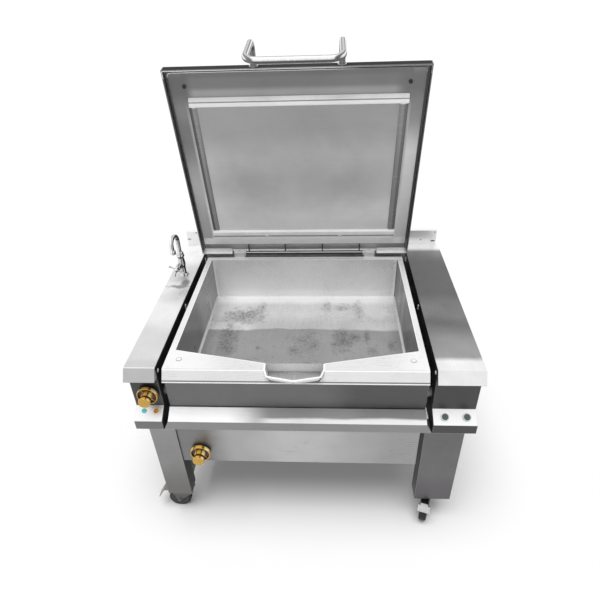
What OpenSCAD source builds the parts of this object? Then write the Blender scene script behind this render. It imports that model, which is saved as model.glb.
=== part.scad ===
// Tilting bratt pan on castors: a pan that tips forward between two consoles,
// with a lid hinged on its rear rim.
// Each module is drawn with x = 0 in the middle of the pan, y = 0 at the front
// edge of the worktops and z = 0 on the floor. placed() then moves it so that
// the origin is the middle of the footprint. +y points to the rear.

/* [Worktops] */
// Height of the worktops and the pan's rim above the floor
top_z = 820; // [800:1:900]
// Depth of the worktops from the front edge to the upstand
unit_d = 968; // [930:1:1000]
// Width of the left worktop
left_w = 118; // [114:1:160]
// Width of the right worktop
right_w = 172; // [166:1:220]
// Thickness of the stainless sheet
sheet = 2; // [1.5:0.5:2.5]
// How far the front nosings lean out
nosing_out = 31; // [20:1:36]
// Height of the front nosings
nosing_drop = 44; // [36:1:60]
// Height of the upstand along the rear
upstand_h = 78; // [40:1:120]
// Depth of the upstand's duct
upstand_d = 25; // [20:1:40]

/* [Consoles] */
// How far the front panels stand back behind the worktop's front edge
recess = 3; // [1:1:6]
// Height of the upper edge of the sloped fascia above the floor
slope_top_z = 622; // [600:1:660]
// Height of the lower edge of the sloped fascia above the floor
slope_bottom_z = 589; // [575:1:595]
// Height of the lower edge of the lip above the floor
lip_bottom_z = 546; // [530:1:560]
// How far the lip stands in front of the worktop's front edge
lip_out = 50; // [44:1:60]
// How far each worktop reaches past its console at the outer side
overhang = 6; // [2:1:12]
// Thickness of the black cheek plates beside the pan
cheek_t = 3; // [2:0.5:4]

/* [Legs and rails] */
// Height of the undersides of the legs above the floor
leg_bottom_z = 128; // [128:1:128]
// Width of the left legs
left_leg_w = 103; // [96:1:110]
// Width of the right legs
right_leg_w = 150; // [140:1:160]
// Depth of the legs
leg_d = 71; // [68:1:80]
// Where the inner face of the left legs lies, measured from the middle of the pan
left_leg_in = 476; // [470:1:484]
// Where the inner face of the right legs lies, measured from the middle of the pan
right_leg_in = 492; // [484:1:496]
// Wall of the legs and rails
leg_wall = 3; // [2:0.5:4]
// Thickness of the plate that carries each castor
foot_t = 8; // [6:1:12]
// Width and height of the rails
rail_w = 40; // [30:1:50]
// Height of the undersides of the rails above the floor
rail_z = 180; // [160:1:260]
// Height of the lower edge of the front panel above the floor
panel_bottom_z = 351; // [330:1:380]
// How far the front panel stands back behind the legs' front faces
panel_back = 6; // [3:1:12]

/* [Pan] */
// Width of the pan over its rim
pan_w = 980; // [960:1:1000]
// Room between the pan's rear edge and the upstand
pan_room = 132; // [120:1:150]
// Gap between the pan's rim and each worktop
side_gap = 28; // [24:1:34]
// Width of the rim beside the cavity
rim_side = 23; // [20:1:26]
// Width of the rim behind the cavity
rim_rear = 28; // [24:1:32]
// Width of the rim in front of the cavity, at the corners
rim_front = 105; // [98:1:112]
// Depth of the cavity
cavity_depth = 225; // [200:1:232]
// Wall of the cavity
vessel_t = 3; // [2:0.5:4]
// Thickness of the heavy plate under the cavity
base_t = 12; // [8:1:15]
// Width of the pouring spout
spout_w = 222; // [180:1:260]
// How far the spout's tip stands in front of the rim
spout_out = 62; // [50:1:70]
// Height of the pan's underside above the floor
casing_bottom_z = 530; // [524:1:536]

/* [Tilting] */
// How far the tilt axis lies behind and above the notch at the foot of the pan's front
tilt_offset = 45; // [44:1:46]
// Diameter of the trunnions
trunnion_d = 40; // [30:1:44]
// Radial clearance of the shafts in their bearings
shaft_fit = 0.05; // [0.03:0.01:0.1]
// Tilt at which the pan stops
tilt_max = 85; // [60:1:85]

/* [Lid] */
// How far the closed lid reaches past the pan's front edge
lid_over = 54; // [40:1:66]
// How far the lid reaches past the pan at each side
lid_side_over = 22; // [14:1:24]
// Depth of the lid's edge
lid_h = 40; // [30:1:46]
// Angle to which the lid is open at rest
lid_open = 80; // [70:1:85]
// How far the hinge axis lies above the rim
hinge_up = 22; // [20:1:26]
// How far the hinge axis lies behind the pan
hinge_back = 6; // [4:1:8]
// Gap between the closed lid and the rim
lid_gap = 3; // [2:0.5:5]
// Diameter of the handle's tube
handle_d = 24; // [20:1:28]
// Distance between the axes of the handle's legs
handle_w = 334; // [300:1:380]
// How far the handle lies to the right of the lid's middle
handle_x = 9; // [0:1:20]
// How far the handle stands out in front of the closed lid
handle_out = 91; // [70:1:100]
// How far the handle hangs down when the lid is closed
handle_drop = 216; // [180:1:240]

/* [Controls] */
// Diameter of the knobs' skirts
knob_d = 80; // [60:1:84]
// How far the knobs stand out of their panels
knob_out = 59; // [45:1:66]
// Diameter of the knobs' caps
cap_d = 46; // [36:1:50]
// Where the upper knob lies, measured outward from the left worktop's inner edge
upper_knob_x = 49; // [48:1:60]
// Height of the upper knob above the floor
upper_knob_z = 692; // [680:1:710]
// Where the lower knob lies, measured from the middle of the pan
lower_knob_x = 392; // [340:1:410]
// Height of the lower knob above the floor
lower_knob_z = 418; // [405:1:470]
// Diameter of the indicator lamps
lamp_d = 19; // [12:1:22]
// Distance between the indicator lamps
lamp_pitch = 48; // [40:1:54]
// Diameter of the push buttons' sleeves
sleeve_d = 32; // [26:1:34]
// Distance between the push buttons
button_pitch = 82; // [60:1:90]
// Travel of the push buttons
button_travel = 4; // [2:0.5:5]

/* [Tap] */
// Height of the tap's body above the worktop
tap_h = 112; // [100:1:130]
// Radius of the gooseneck's bend
neck_r = 32; // [28:1:40]
// Diameter of the gooseneck's tube
neck_d = 19; // [16:1:22]
// Direction of the gooseneck, in degrees from straight ahead to the left
neck_turn = 9; // [0:1:60]
// Length of the valve from the body's axis to its handle
valve_l = 74; // [66:1:90]
// Radius of the cross handle
cross_r = 36; // [28:1:38]

/* [Castors] */
// Diameter of the castors' wheels
wheel_d = 100; // [94:1:100]
// Width of the castors' wheels
wheel_w = 32; // [28:1:34]
// Distance from a castor's swivel axis to its wheel's axle
trail = 40; // [30:1:42]
// How far the left brake pedal reaches from the swivel axis
left_pedal_reach = 134; // [120:1:150]
// How far the right brake pedal reaches from the swivel axis
right_pedal_reach = 86; // [84:1:100]

/* [Hidden] */
$fn = 64;
over = 1;
gap = 0.3;

// Sides and fronts
pan_x = pan_w / 2;
pan_d = unit_d - pan_room;
inner_x = pan_x + side_gap;
left_x = -inner_x - left_w;
right_x = inner_x + right_w;
panel_y = -lip_out + panel_back;
rear_y = unit_d + upstand_d;

// Castors: swivel axes, measured from the legs' faces, and the way each one trails
castor_back = 44;
castor_in_left = 33;
castor_in_right = 62;
castor_rear_in = 50;
castor_y = -lip_out + castor_back;
castor_rear_y = unit_d - castor_back;
left_castor_x = -left_leg_in - castor_in_left;
right_castor_x = right_leg_in + castor_in_right;
rear_left_castor_x = -left_leg_in - castor_rear_in;
rear_right_castor_x = right_leg_in + castor_rear_in;
front_left_turn = -90;
front_right_turn = -17;
rear_left_turn = 24;
rear_right_turn = -38;

// Middle of the footprint: the two brake pedals stand out furthest
pedal_w_left = 36;
pedal_w_right = 52;
mid_x = (right_x + left_castor_x - left_pedal_reach) / 2;
mid_y = (rear_y + castor_y - right_pedal_reach * cos(front_right_turn)
         + pedal_w_right / 2 * sin(front_right_turn)) / 2;

// How far the front beam and the casing's front reach past the pan's sides
beam_x = pan_x + 7;
front_x = pan_x + 5;

// Tilt axis
axis_y = recess + tilt_offset;
axis_z = slope_top_z + tilt_offset;

// Cavity
floor_z = top_z - cavity_depth;
cav_x = pan_x - rim_side;
cav_y0 = rim_front;
cav_y1 = pan_d - rim_rear;
spout_x = spout_w / 2;
spout_root_y = 32;
spout_side_y = -38;
spout_tip_x = 98;
spout_rise = 9;
spout_fold_x = 88;
spout_fold_y = -24;
spout_fold_tip = 16;
spout_floor_drop = 40;
spout_t = 3;
notch_up = 8;
notch_in = 20;
notch_mid_up = 25;
notch_mid_in = 5.8;
notch_side_up = 39;
base_top_z = floor_z - vessel_t;
base_z = base_top_z - base_t;
outline = [[-cav_x, cav_y0], [-spout_x, spout_root_y], [spout_x, spout_root_y],
           [cav_x, cav_y0], [cav_x, cav_y1], [-cav_x, cav_y1]];
base_inset = 10;
casing_nose = 38;

// Cradle, trunnions and heating
plate_t = 8;
plate_gap = 4;
plate_x = cav_x + vessel_t + plate_gap;
cradle_nose = 12;
cradle_low = 40;
cradle_rear = 30;
bar_w = 30;
bar_y_shares = [0.2, 0.88];
flange_d = 80;
trunnion_end = 118;
bore_gap = 4;
element_d = 8;
element_pitch = 34;
element_row_share = 1.2;
element_end = 40;
element_z = base_z - gap - element_d / 2;
wool_gap = 2;

// Bearings and gearmotor
bearing_s = 76;
bearing_t = 28;
box_w = 84;
box_front = 38;
box_back = 68;
box_down = 44;
wheel_gear_d = 72;
wheel_gear_t = 26;
worm_d = 24;
worm_l = 60;
worm_mesh = 0.5;
worm_pin_d = 12;
worm_z = axis_z + wheel_gear_d / 2 + worm_d / 2 + worm_mesh;
worm_y = axis_y;
box_up = worm_z - axis_z + 22;
box_gap = 3;
motor_d = 88;
motor_l = 190;
box_x = inner_x + cheek_t + bearing_t;
gear_x = box_x + box_w / 2;

// Lid
lid_closed_z = top_z + lid_gap + lid_h;
hinge_y = pan_d + hinge_back;
hinge_z = top_z + hinge_up;
lid_rear_in = 2;
lid_rear_y = pan_d - lid_rear_in;
lid_l = lid_rear_y + lid_over;
lid_w = pan_w + 2 * lid_side_over;
hinge_tube_d = 20;
hinge_shaft_d = 14;
hinge_span = 300;
block_l = 52;
block_gap = 1;
frame_side_in = 75;
frame_front_in = 120;
frame_x = lid_w / 2 - frame_side_in;
frame_rear = 92;
frame_front = lid_l - frame_front_in;
frame_bar = 28;
frame_h = 14;
lining_in = 14;
lining_gap = 18;
buffer_side_in = 74;
buffer_front_in = 68;
buffer_x = lid_w / 2 - buffer_side_in;
buffer_s = lid_l - buffer_front_in;
buffer_d = 15;
buffer_h = 5;

// Fascia
slope_dy = recess + lip_out;
slope_dz = slope_top_z - slope_bottom_z;
slope_a = atan2(slope_dz, slope_dy);
slope_mid_share = 0.5;
lamp_share = 0.35;
lamp_mid_x = 54;
button_mid_x = 88;
cap_button_d = 24;
button_out = 7;

// Knobs
bezel_d = 76;
bezel_t = 8;
skirt_t = 16;
skirt_wall = 2.5;
knob_gap = 0.4;
spindle_d = 8;

// Castor parts
head_z = 108;
head_t = 4;
race_d = 58;
kingpin_d = 12;
fork_t = 3;
fork_gap = 1.5;
axle_d = 8;
hub_d = 20;
ear_y = 30;
pedal_y = -62;
pedal_z = 106;
pedal_t = 3;
pedal_pin_d = 5;
left_pedal_drop = 44;
right_pedal_drop = 20;
left_bend_share = 0.6;
right_bend_share = 0.4;

// Helpers
function dir(a, b) = (b - a) / norm(b - a);
function left_of(v) = [-v[1], v[0]];
function bisect(n1, n2) = (n1 + n2) / (1 + n1 * n2);
function side(p, i, t) =
    i == 0 ? p[0] + t * left_of(dir(p[0], p[1])) :
    i == len(p) - 1 ? p[i] + t * left_of(dir(p[i - 1], p[i])) :
    p[i] + t * bisect(left_of(dir(p[i - 1], p[i])), left_of(dir(p[i], p[i + 1])));
// Outline of a folded sheet of thickness t to the left of the path p
function fold(p, t) = concat(p, [for (i = [len(p) - 1:-1:0]) side(p, i, t)]);
// Closed outline p, drawn anticlockwise, grown by t on every side
function grow(p, t) = [for (i = [0:len(p) - 1])
    let (n = len(p), a = p[(i + n - 1) % n], b = p[i], c = p[(i + 1) % n])
    b - t * bisect(left_of(dir(a, b)), left_of(dir(b, c)))];

module placed() {
    translate([-mid_x, -mid_y, 0]) children();
}

module block(a, b) {
    translate(a) cube(b - a);
}

// A drawing in y and z, drawn out along x
module along_x(x0, x1) {
    translate([x0, 0, 0]) rotate([90, 0, 90]) linear_extrude(height = x1 - x0) children();
}

// A drawing in x and z, drawn out along y
module along_y(y0, y1) {
    translate([0, y1, 0]) rotate([90, 0, 0]) linear_extrude(height = y1 - y0) children();
}

module rod_x(x0, x1, y, z, d) {
    translate([x0, y, z]) rotate([0, 90, 0]) cylinder(d = d, h = x1 - x0);
}

module rod_y(y0, y1, x, z, d) {
    translate([x, y0, z]) rotate([-90, 0, 0]) cylinder(d = d, h = y1 - y0);
}

module rod_z(z0, z1, x, y, d) {
    translate([x, y, z0]) cylinder(d = d, h = z1 - z0);
}

module tube_box(a, b, t) {
    difference() {
        block(a, b);
        block(a + [t, t, t], b - [t, t, t]);
    }
}

// Legs and rails
module leg(x0, x1, y0, cx, cy) {
    placed() difference() {
        block([x0, y0, leg_bottom_z], [x1, y0 + leg_d, lip_bottom_z]);
        block([x0 + leg_wall, y0 + leg_wall, leg_bottom_z + foot_t],
              [x1 - leg_wall, y0 + leg_d - leg_wall, lip_bottom_z - leg_wall]);
        rod_z(leg_bottom_z - over, leg_bottom_z + foot_t + over, cx, cy,
              kingpin_d + 2 * shaft_fit);
    }
}

module front_left_leg() {
    color("gainsboro")
        leg(-left_leg_in - left_leg_w, -left_leg_in, -lip_out, left_castor_x, castor_y);
}

module front_right_leg() {
    color("gainsboro")
        leg(right_leg_in, right_leg_in + right_leg_w, -lip_out, right_castor_x, castor_y);
}

module rear_left_leg() {
    color("gainsboro") leg(-left_leg_in - left_leg_w, -left_leg_in, unit_d - leg_d,
                           rear_left_castor_x, castor_rear_y);
}

module rear_right_leg() {
    color("gainsboro") leg(right_leg_in, right_leg_in + right_leg_w, unit_d - leg_d,
                           rear_right_castor_x, castor_rear_y);
}

module side_rail(x0) {
    placed() tube_box([x0, leg_d - lip_out, rail_z],
                      [x0 + rail_w, unit_d - leg_d, rail_z + rail_w], leg_wall);
}

module left_side_rail() {
    color("silver") side_rail(-left_leg_in - rail_w);
}

module right_side_rail() {
    color("silver") side_rail(right_leg_in + right_leg_w / 2 - rail_w / 2);
}

module rear_cross_rail() {
    color("silver") placed()
        tube_box([-left_leg_in, unit_d - leg_d, rail_z],
                 [right_leg_in, unit_d - leg_d + rail_w, rail_z + rail_w], leg_wall);
}

// Sloped beam between the consoles, with the flares that meet the legs
module front_beam() {
    skin = [[0, slope_top_z - recess * slope_dz / slope_dy], [-lip_out, slope_bottom_z],
            [-lip_out, lip_bottom_z], [0, lip_bottom_z]];
    color("whitesmoke") placed() {
        along_x(-beam_x, beam_x) difference() {
            polygon(skin);
            polygon(grow(skin, -sheet));
        }
        for (s = [-1, 1])
            along_y(-lip_out, sheet - lip_out)
                polygon([[s * (beam_x - over), slope_bottom_z], [s * beam_x, slope_bottom_z],
                         [s * inner_x, lip_bottom_z], [s * (beam_x - over), lip_bottom_z]]);
    }
}

// Front panel that hangs from the beam between the legs
module front_panel() {
    flange = 24;
    path = [[panel_y + flange, lip_bottom_z], [panel_y, lip_bottom_z],
            [panel_y, panel_bottom_z], [panel_y + flange, panel_bottom_z]];
    color("silver") placed() difference() {
        along_x(-left_leg_in, left_leg_in) polygon(fold(path, sheet));
        rod_y(panel_y - over, panel_y + sheet + over, -lower_knob_x, lower_knob_z,
              spindle_d + 2 * bore_gap);
    }
}

// Consoles: one folded skin round the front, underside and rear, and an outer side
function console_side() = [[recess, top_z - sheet], [recess, slope_top_z],
    [-lip_out, slope_bottom_z], [-lip_out, lip_bottom_z],
    [unit_d, lip_bottom_z], [unit_d, top_z - sheet]];

module console(x_in, x_out) {
    s = sign(x_out);
    difference() {
        union() {
            along_x(min(x_in, x_out), max(x_in, x_out)) polygon(fold(console_side(), sheet));
            along_x(min(x_out, x_out - s * sheet), max(x_out, x_out - s * sheet))
                polygon(console_side());
        }
        children();
    }
}

// A point on the sloped fascia, at x and at a share of its height, square to the slope
module on_slope(x, share = slope_mid_share) {
    translate([x, recess - slope_dy * share, slope_top_z - slope_dz * share])
        rotate([slope_a, 0, 0]) children();
}

module left_console() {
    color("dimgray") placed()
        console(-inner_x - cheek_t, left_x + overhang) {
            rod_y(0, recess + 2 * sheet, -inner_x - upper_knob_x, upper_knob_z,
                  spindle_d + 2 * bore_gap);
            for (i = [-1, 1])
                on_slope(-inner_x - lamp_mid_x + i * lamp_pitch / 2, lamp_share)
                    translate([0, 0, -3 * sheet]) cylinder(d = lamp_d - bore_gap, h = 6 * sheet);
            rod_z(lip_bottom_z - over, lip_bottom_z + sheet + over, tap_x, pipe_y,
                  pipe_d + bore_gap);
        }
}

module right_console() {
    color("dimgray") placed()
        console(inner_x + cheek_t, right_x - overhang) {
            for (i = [-1, 1])
                on_slope(inner_x + button_mid_x + i * button_pitch / 2)
                    translate([0, 0, -3 * sheet]) cylinder(d = barrel_d + 2 * gap, h = 6 * sheet);
            rod_y(unit_d - 2 * sheet, unit_d + over, gland_x, gland_z, gland_d + gap);
        }
}

// Worktops: top, nosing and closed outer end, with the edge turned down at the side
function nosing_path(y_end) = [[y_end, top_z], [0, top_z],
    [-nosing_out, top_z - nosing_drop], [recess, top_z - nosing_drop]];

module worktop(x_in, x_out) {
    s = sign(x_out);
    lo = min(x_in, x_out);
    hi = max(x_in, x_out);
    along_x(lo, hi) polygon(fold(nosing_path(unit_d), sheet));
    for (x = [x_out - s * sheet, x_in])
        along_x(min(x, x + s * sheet), max(x, x + s * sheet))
            polygon(nosing_path(recess));
    along_x(min(x_out, x_out - s * sheet), max(x_out, x_out - s * sheet))
        polygon([[0, top_z], [0, top_z - edge_drop], [unit_d, top_z - edge_drop],
                 [unit_d, top_z]]);
}
edge_drop = 24;

module left_worktop() {
    color("whitesmoke") placed() difference() {
        worktop(-inner_x, left_x);
        rod_z(top_z - 2 * sheet, top_z + over, tap_x, tap_y, tap_shank_d + bore_gap);
    }
}

module right_worktop() {
    color("whitesmoke") placed() worktop(inner_x, right_x);
}

// Black cheek plates that close the consoles beside the pan
module cheek(s) {
    placed() difference() {
        along_x(min(s * inner_x, s * (inner_x + cheek_t)), max(s * inner_x, s * (inner_x + cheek_t)))
            polygon(console_side());
        rod_x(-inner_x - cheek_t - over, inner_x + cheek_t + over, axis_y, axis_z,
              trunnion_d + 2 * bore_gap);
    }
}

module left_cheek() {
    color("black") cheek(-1);
}

module right_cheek() {
    color("black") cheek(1);
}

screw_y_shares = [0.02, 0.46, 0.9];
screw_z_shares = [0.83, 0.88];
screw_d = 14;
screw_h = 3;

module cheek_screws() {
    color("silver") placed()
        for (s = [-1, 1], y = screw_y_shares, z = screw_z_shares)
            if (z == screw_z_shares[1] || y > screw_y_shares[0])
                translate([s * inner_x, unit_d * y + 2 * recess,
                           lip_bottom_z + (top_z - lip_bottom_z) * z])
                    rotate([0, -90 * s, 0]) cylinder(d = screw_d, h = screw_h);
}

// Rear: upstand, back panel and the bridge behind the pan
upstand_in = 12;
bridge_back = 68;
bridge_drop = 60;

module rear_upstand() {
    path = [[rear_y, lip_bottom_z], [rear_y, top_z + upstand_h], [unit_d, top_z + upstand_h],
            [unit_d, top_z - nosing_drop]];
    bridge = [[unit_d - gap, top_z], [pan_d + bridge_back, top_z],
              [pan_d + bridge_back, top_z - bridge_drop]];
    color("gainsboro") placed() difference() {
        union() {
            along_x(left_x + upstand_in, right_x - upstand_in) polygon(fold(path, sheet));
            for (x = [left_x + upstand_in, right_x - upstand_in - sheet])
                along_x(x, x + sheet)
                    polygon([[rear_y, lip_bottom_z], [rear_y, top_z + upstand_h],
                             [unit_d, top_z + upstand_h], [unit_d, lip_bottom_z]]);
            along_x(-inner_x, inner_x) polygon(fold(bridge, sheet));
        }
        rod_y(unit_d, rear_y + over, gland_x, gland_z, gland_d + gap);
    }
}

// Tilt drive
module bearings() {
    color("darkgray") placed()
        for (s = [-1, 1])
            difference() {
                block([min(s * (inner_x + cheek_t), s * box_x), axis_y - bearing_s / 2,
                       axis_z - bearing_s / 2],
                      [max(s * (inner_x + cheek_t), s * box_x), axis_y + bearing_s / 2,
                       axis_z + bearing_s / 2]);
                rod_x(-box_x - over, box_x + over, axis_y, axis_z, trunnion_d + 2 * shaft_fit);
            }
}

module tilt_gearmotor() {
    chamber = wheel_gear_t + 2 * box_gap;
    color("slategray") placed() difference() {
        union() {
            block([box_x, axis_y - box_front, axis_z - box_down],
                  [box_x + box_w, axis_y + box_back, axis_z + box_up]);
            rod_y(axis_y + box_back, axis_y + box_back + motor_l, gear_x, worm_z, motor_d);
        }
        rod_x(gear_x - chamber / 2, gear_x + chamber / 2, axis_y, axis_z,
              wheel_gear_d + 2 * box_gap);
        rod_x(box_x - over, box_x + box_w + over, axis_y, axis_z, trunnion_d + 2 * shaft_fit);
        rod_y(worm_y - worm_l / 2 - box_gap, worm_y + worm_l / 2 + box_gap, gear_x, worm_z,
              worm_d + 2 * box_gap);
        rod_y(axis_y - box_front + box_gap, axis_y + box_back + box_gap, gear_x, worm_z,
              worm_pin_d + 2 * shaft_fit);
    }
}

module tilt_worm() {
    pitch = 7;
    thread = 3;
    color("silver") placed() {
        rod_y(worm_y - worm_l / 2, worm_y + worm_l / 2, gear_x, worm_z, worm_d - 2 * thread);
        for (i = [-4:4])
            rod_y(worm_y + i * pitch - thread / 2, worm_y + i * pitch + thread / 2, gear_x,
                  worm_z, worm_d);
        rod_y(axis_y - box_front + 2 * box_gap, axis_y + box_back, gear_x, worm_z, worm_pin_d);
    }
}

// Controls
module knob_stack(x, y, z) {
    translate([x, y, z]) rotate([90, 0, 0]) children();
}

// Black bezel, spindle and the body behind the panel
module switch_body(w, d) {
    cylinder(d = bezel_d, h = bezel_t);
    cylinder(d = spindle_d, h = bezel_t + skirt_t);
    translate([0, 0, -2 * bore_gap]) cylinder(d = spindle_d, h = 2 * bore_gap + bezel_t);
    translate([-w / 2, -w / 2, -sheet - d]) cube([w, w, d]);
    translate([0, 0, -sheet - over]) cylinder(d = spindle_d + bore_gap, h = sheet + 2 * over);
}

switch_w = 32;
switch_l = 40;

module thermostat() {
    color("black") placed()
        knob_stack(-inner_x - upper_knob_x, recess, upper_knob_z) switch_body(switch_w, switch_l);
}

module selector_switch() {
    color("black") placed()
        knob_stack(-lower_knob_x, panel_y, lower_knob_z) switch_body(switch_w, switch_l);
}

// Knob: hollow skirt, web and cap, bored for the spindle
module knob() {
    translate([0, 0, bezel_t + knob_gap]) difference() {
        rotate_extrude() polygon([
            [0, 0], [knob_d / 2 - skirt_wall, 0], [knob_d / 2, skirt_wall],
            [knob_d / 2, knob_skirt_l], [knob_d / 2 - skirt_wall, knob_skirt_l],
            [knob_d / 2 - 2 * skirt_wall, 3 * skirt_wall], [cap_d / 2 - skirt_wall, 3 * skirt_wall],
            [cap_d / 2 - skirt_wall, knob_l - 4 * skirt_wall], [cap_d / 2, knob_l - 3 * skirt_wall],
            [cap_d / 2, knob_l - skirt_wall / 2], [cap_d / 2 - skirt_wall, knob_l], [0, knob_l]]);
        translate([0, 0, -over]) cylinder(d = spindle_d + 2 * shaft_fit, h = over + skirt_t);
    }
}
knob_l = knob_out - bezel_t - knob_gap;
knob_skirt_l = 15;

module thermostat_knob() {
    color("gold") placed() knob_stack(-inner_x - upper_knob_x, recess, upper_knob_z) knob();
}

module selector_knob() {
    color("gold") placed() knob_stack(-lower_knob_x, panel_y, lower_knob_z) knob();
}

module lamp() {
    lens_h = 3;
    cylinder(d = lamp_d, h = lens_h);
    translate([0, 0, -6 * sheet]) cylinder(d = lamp_d - 2 * bore_gap, h = 6 * sheet);
}

module cyan_lamp() {
    color("turquoise") placed() on_slope(-inner_x - lamp_mid_x - lamp_pitch / 2, lamp_share) lamp();
}

module amber_lamp() {
    color("orange") placed() on_slope(-inner_x - lamp_mid_x + lamp_pitch / 2, lamp_share) lamp();
}

// Chrome sleeves of the push buttons and the switch blocks under them
sleeve_h = 4;
barrel_d = sleeve_d - bore_gap;
barrel_l = 34;
button_well = 16;

module button_housings() {
    color("silver") placed()
        for (i = [-1, 1])
            on_slope(inner_x + button_mid_x + i * button_pitch / 2) difference() {
                union() {
                    cylinder(d = sleeve_d, h = sleeve_h);
                    translate([0, 0, -barrel_l]) cylinder(d = barrel_d, h = barrel_l);
                }
                translate([0, 0, -button_well])
                    cylinder(d = cap_button_d + 2 * shaft_fit, h = button_well + sleeve_h + over);
            }
}

module push_button(i) {
    placed() on_slope(inner_x + button_mid_x + i * button_pitch / 2)
        translate([0, 0, button_travel + gap - button_well])
            cylinder(d = cap_button_d, h = button_well + button_out - button_travel - gap);
}

module raise_button() {
    color("darkslategray") push_button(-1);
}

module lower_button() {
    color("darkslategray") push_button(1);
}

// Electrics in the right console
box_y0_share = 0.42;
box_l = 260;
box_h = 150;
box_t = 90;
box_wall = 2;
gland_d = 32;
gland_in = 90;
gland_up = 70;
gland_x = inner_x + gland_in;
gland_z = lip_bottom_z + gland_up;

module control_box() {
    x1 = right_x - overhang - sheet;
    y0 = unit_d * box_y0_share;
    z0 = lip_bottom_z + sheet;
    color("gray") placed() {
        difference() {
            block([x1 - box_t, y0, z0], [x1, y0 + box_l, z0 + box_h]);
            block([x1 - box_t + box_wall, y0 + box_wall, z0 + box_wall],
                  [x1 - box_wall, y0 + box_l - box_wall, z0 + box_h - box_wall]);
        }
        for (i = [0:3])
            block([x1 - box_t + box_wall, y0 + box_wall + i * box_l / 5 + box_wall, z0 + box_wall],
                  [x1 - box_t / 4, y0 + box_wall + i * box_l / 5 + box_l / 6, z0 + box_h / 2]);
    }
}

module supply_gland() {
    collar = 8;
    color("dimgray") placed() difference() {
        union() {
            rod_y(unit_d - sheet - collar, rear_y, gland_x, gland_z, gland_d);
            rod_y(unit_d - sheet - 2 * collar, unit_d - sheet, gland_x, gland_z,
                  gland_d + collar);
        }
        rod_y(unit_d - sheet - 2 * collar - over, rear_y + over, gland_x, gland_z, gland_d / 2);
    }
}

// Tap on the left worktop
tap_in = 56;
tap_x = -inner_x - tap_in;
tap_y = 670;
tap_base_d = 44;
tap_base_t = 8;
tap_shank_d = 22;
tap_shank_l = 60;
tap_body_d = 28;
tap_collar_d = 36;
tap_collar_h = 12;
neck_up = 73;
neck_down = 30;
nozzle_d = 27;
nozzle_h = 20;
valve_up = 64;
valve_turn = 6;
valve_d = 20;
valve_end_d = 24;
cross_hub_d = 20;
cross_hub_l = 14;
spoke_d = 9;
pipe_d = 18;
pipe_y = tap_y;
socket_l = 12;

module at_valve() {
    translate([tap_x, tap_y, top_z + valve_up]) rotate([90, 0, -valve_turn]) children();
}

module tap_body() {
    color("silver") placed() difference() {
        union() {
            rod_z(top_z, top_z + tap_base_t, tap_x, tap_y, tap_base_d);
            rod_z(top_z + tap_base_t, top_z + tap_h - tap_collar_h, tap_x, tap_y, tap_body_d);
            rod_z(top_z + tap_h - tap_collar_h, top_z + tap_h, tap_x, tap_y, tap_collar_d);
            rod_z(top_z - tap_shank_l, top_z, tap_x, tap_y, tap_shank_d);
            at_valve() cylinder(d = valve_d, h = valve_l - cross_hub_l);
            at_valve() translate([0, 0, valve_l / 2])
                cylinder(d = valve_end_d, h = valve_l / 4);
            at_valve() cylinder(d = spindle_d, h = valve_l + knob_gap - over - gap);
        }
        rod_z(top_z + tap_h - socket_l, top_z + tap_h + over, tap_x, tap_y,
              neck_d + 2 * shaft_fit);
    }
}

module tap_spout() {
    color("silver") placed() translate([tap_x, tap_y, top_z + tap_h])
        rotate([0, 0, -neck_turn]) {
            translate([0, 0, knob_gap - socket_l])
                cylinder(d = neck_d, h = neck_up + socket_l - knob_gap);
            translate([0, -neck_r, neck_up]) rotate([0, 90, 0])
                rotate([0, 0, 90]) rotate_extrude(angle = 180)
                    translate([neck_r, 0]) circle(d = neck_d);
            translate([0, -2 * neck_r, neck_up - neck_down]) cylinder(d = neck_d, h = neck_down);
            difference() {
                translate([0, -2 * neck_r, neck_up - neck_down - nozzle_h / 2])
                    cylinder(d = nozzle_d, h = nozzle_h);
                translate([0, -2 * neck_r, neck_up - neck_down - nozzle_h / 2 - over])
                    cylinder(d = neck_d / 2, h = nozzle_h / 2);
            }
        }
}

module tap_handle() {
    color("silver") placed() at_valve() translate([0, 0, valve_l - cross_hub_l + knob_gap])
        difference() {
            union() {
                cylinder(d = cross_hub_d, h = cross_hub_l);
                for (a = [65:90:335])
                    rotate([0, 0, a]) translate([0, 0, cross_hub_l / 2]) rotate([0, 90, 0]) {
                        cylinder(d = spoke_d, h = cross_r);
                        translate([0, 0, cross_r]) sphere(d = spoke_d + knob_gap);
                    }
            }
            translate([0, 0, -over])
                cylinder(d = spindle_d + 2 * shaft_fit, h = cross_hub_l);
        }
}

// Supply pipe from the tap's shank down through the console's underside
pipe_out = 40;

module water_pipe() {
    color("peru") placed() difference() {
        union() {
            rod_z(lip_bottom_z - pipe_out, top_z - tap_shank_l, tap_x, pipe_y, pipe_d);
            rod_z(lip_bottom_z - pipe_out, lip_bottom_z - pipe_out / 2, tap_x, pipe_y,
                  pipe_d + bore_gap);
            rod_z(top_z - tap_shank_l - pipe_out, top_z - tap_shank_l, tap_x, pipe_y,
                  tap_shank_d + bore_gap);
        }
        rod_z(lip_bottom_z - pipe_out - over, top_z - tap_shank_l - over, tap_x, pipe_y,
              pipe_d - bore_gap);
    }
}

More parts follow.
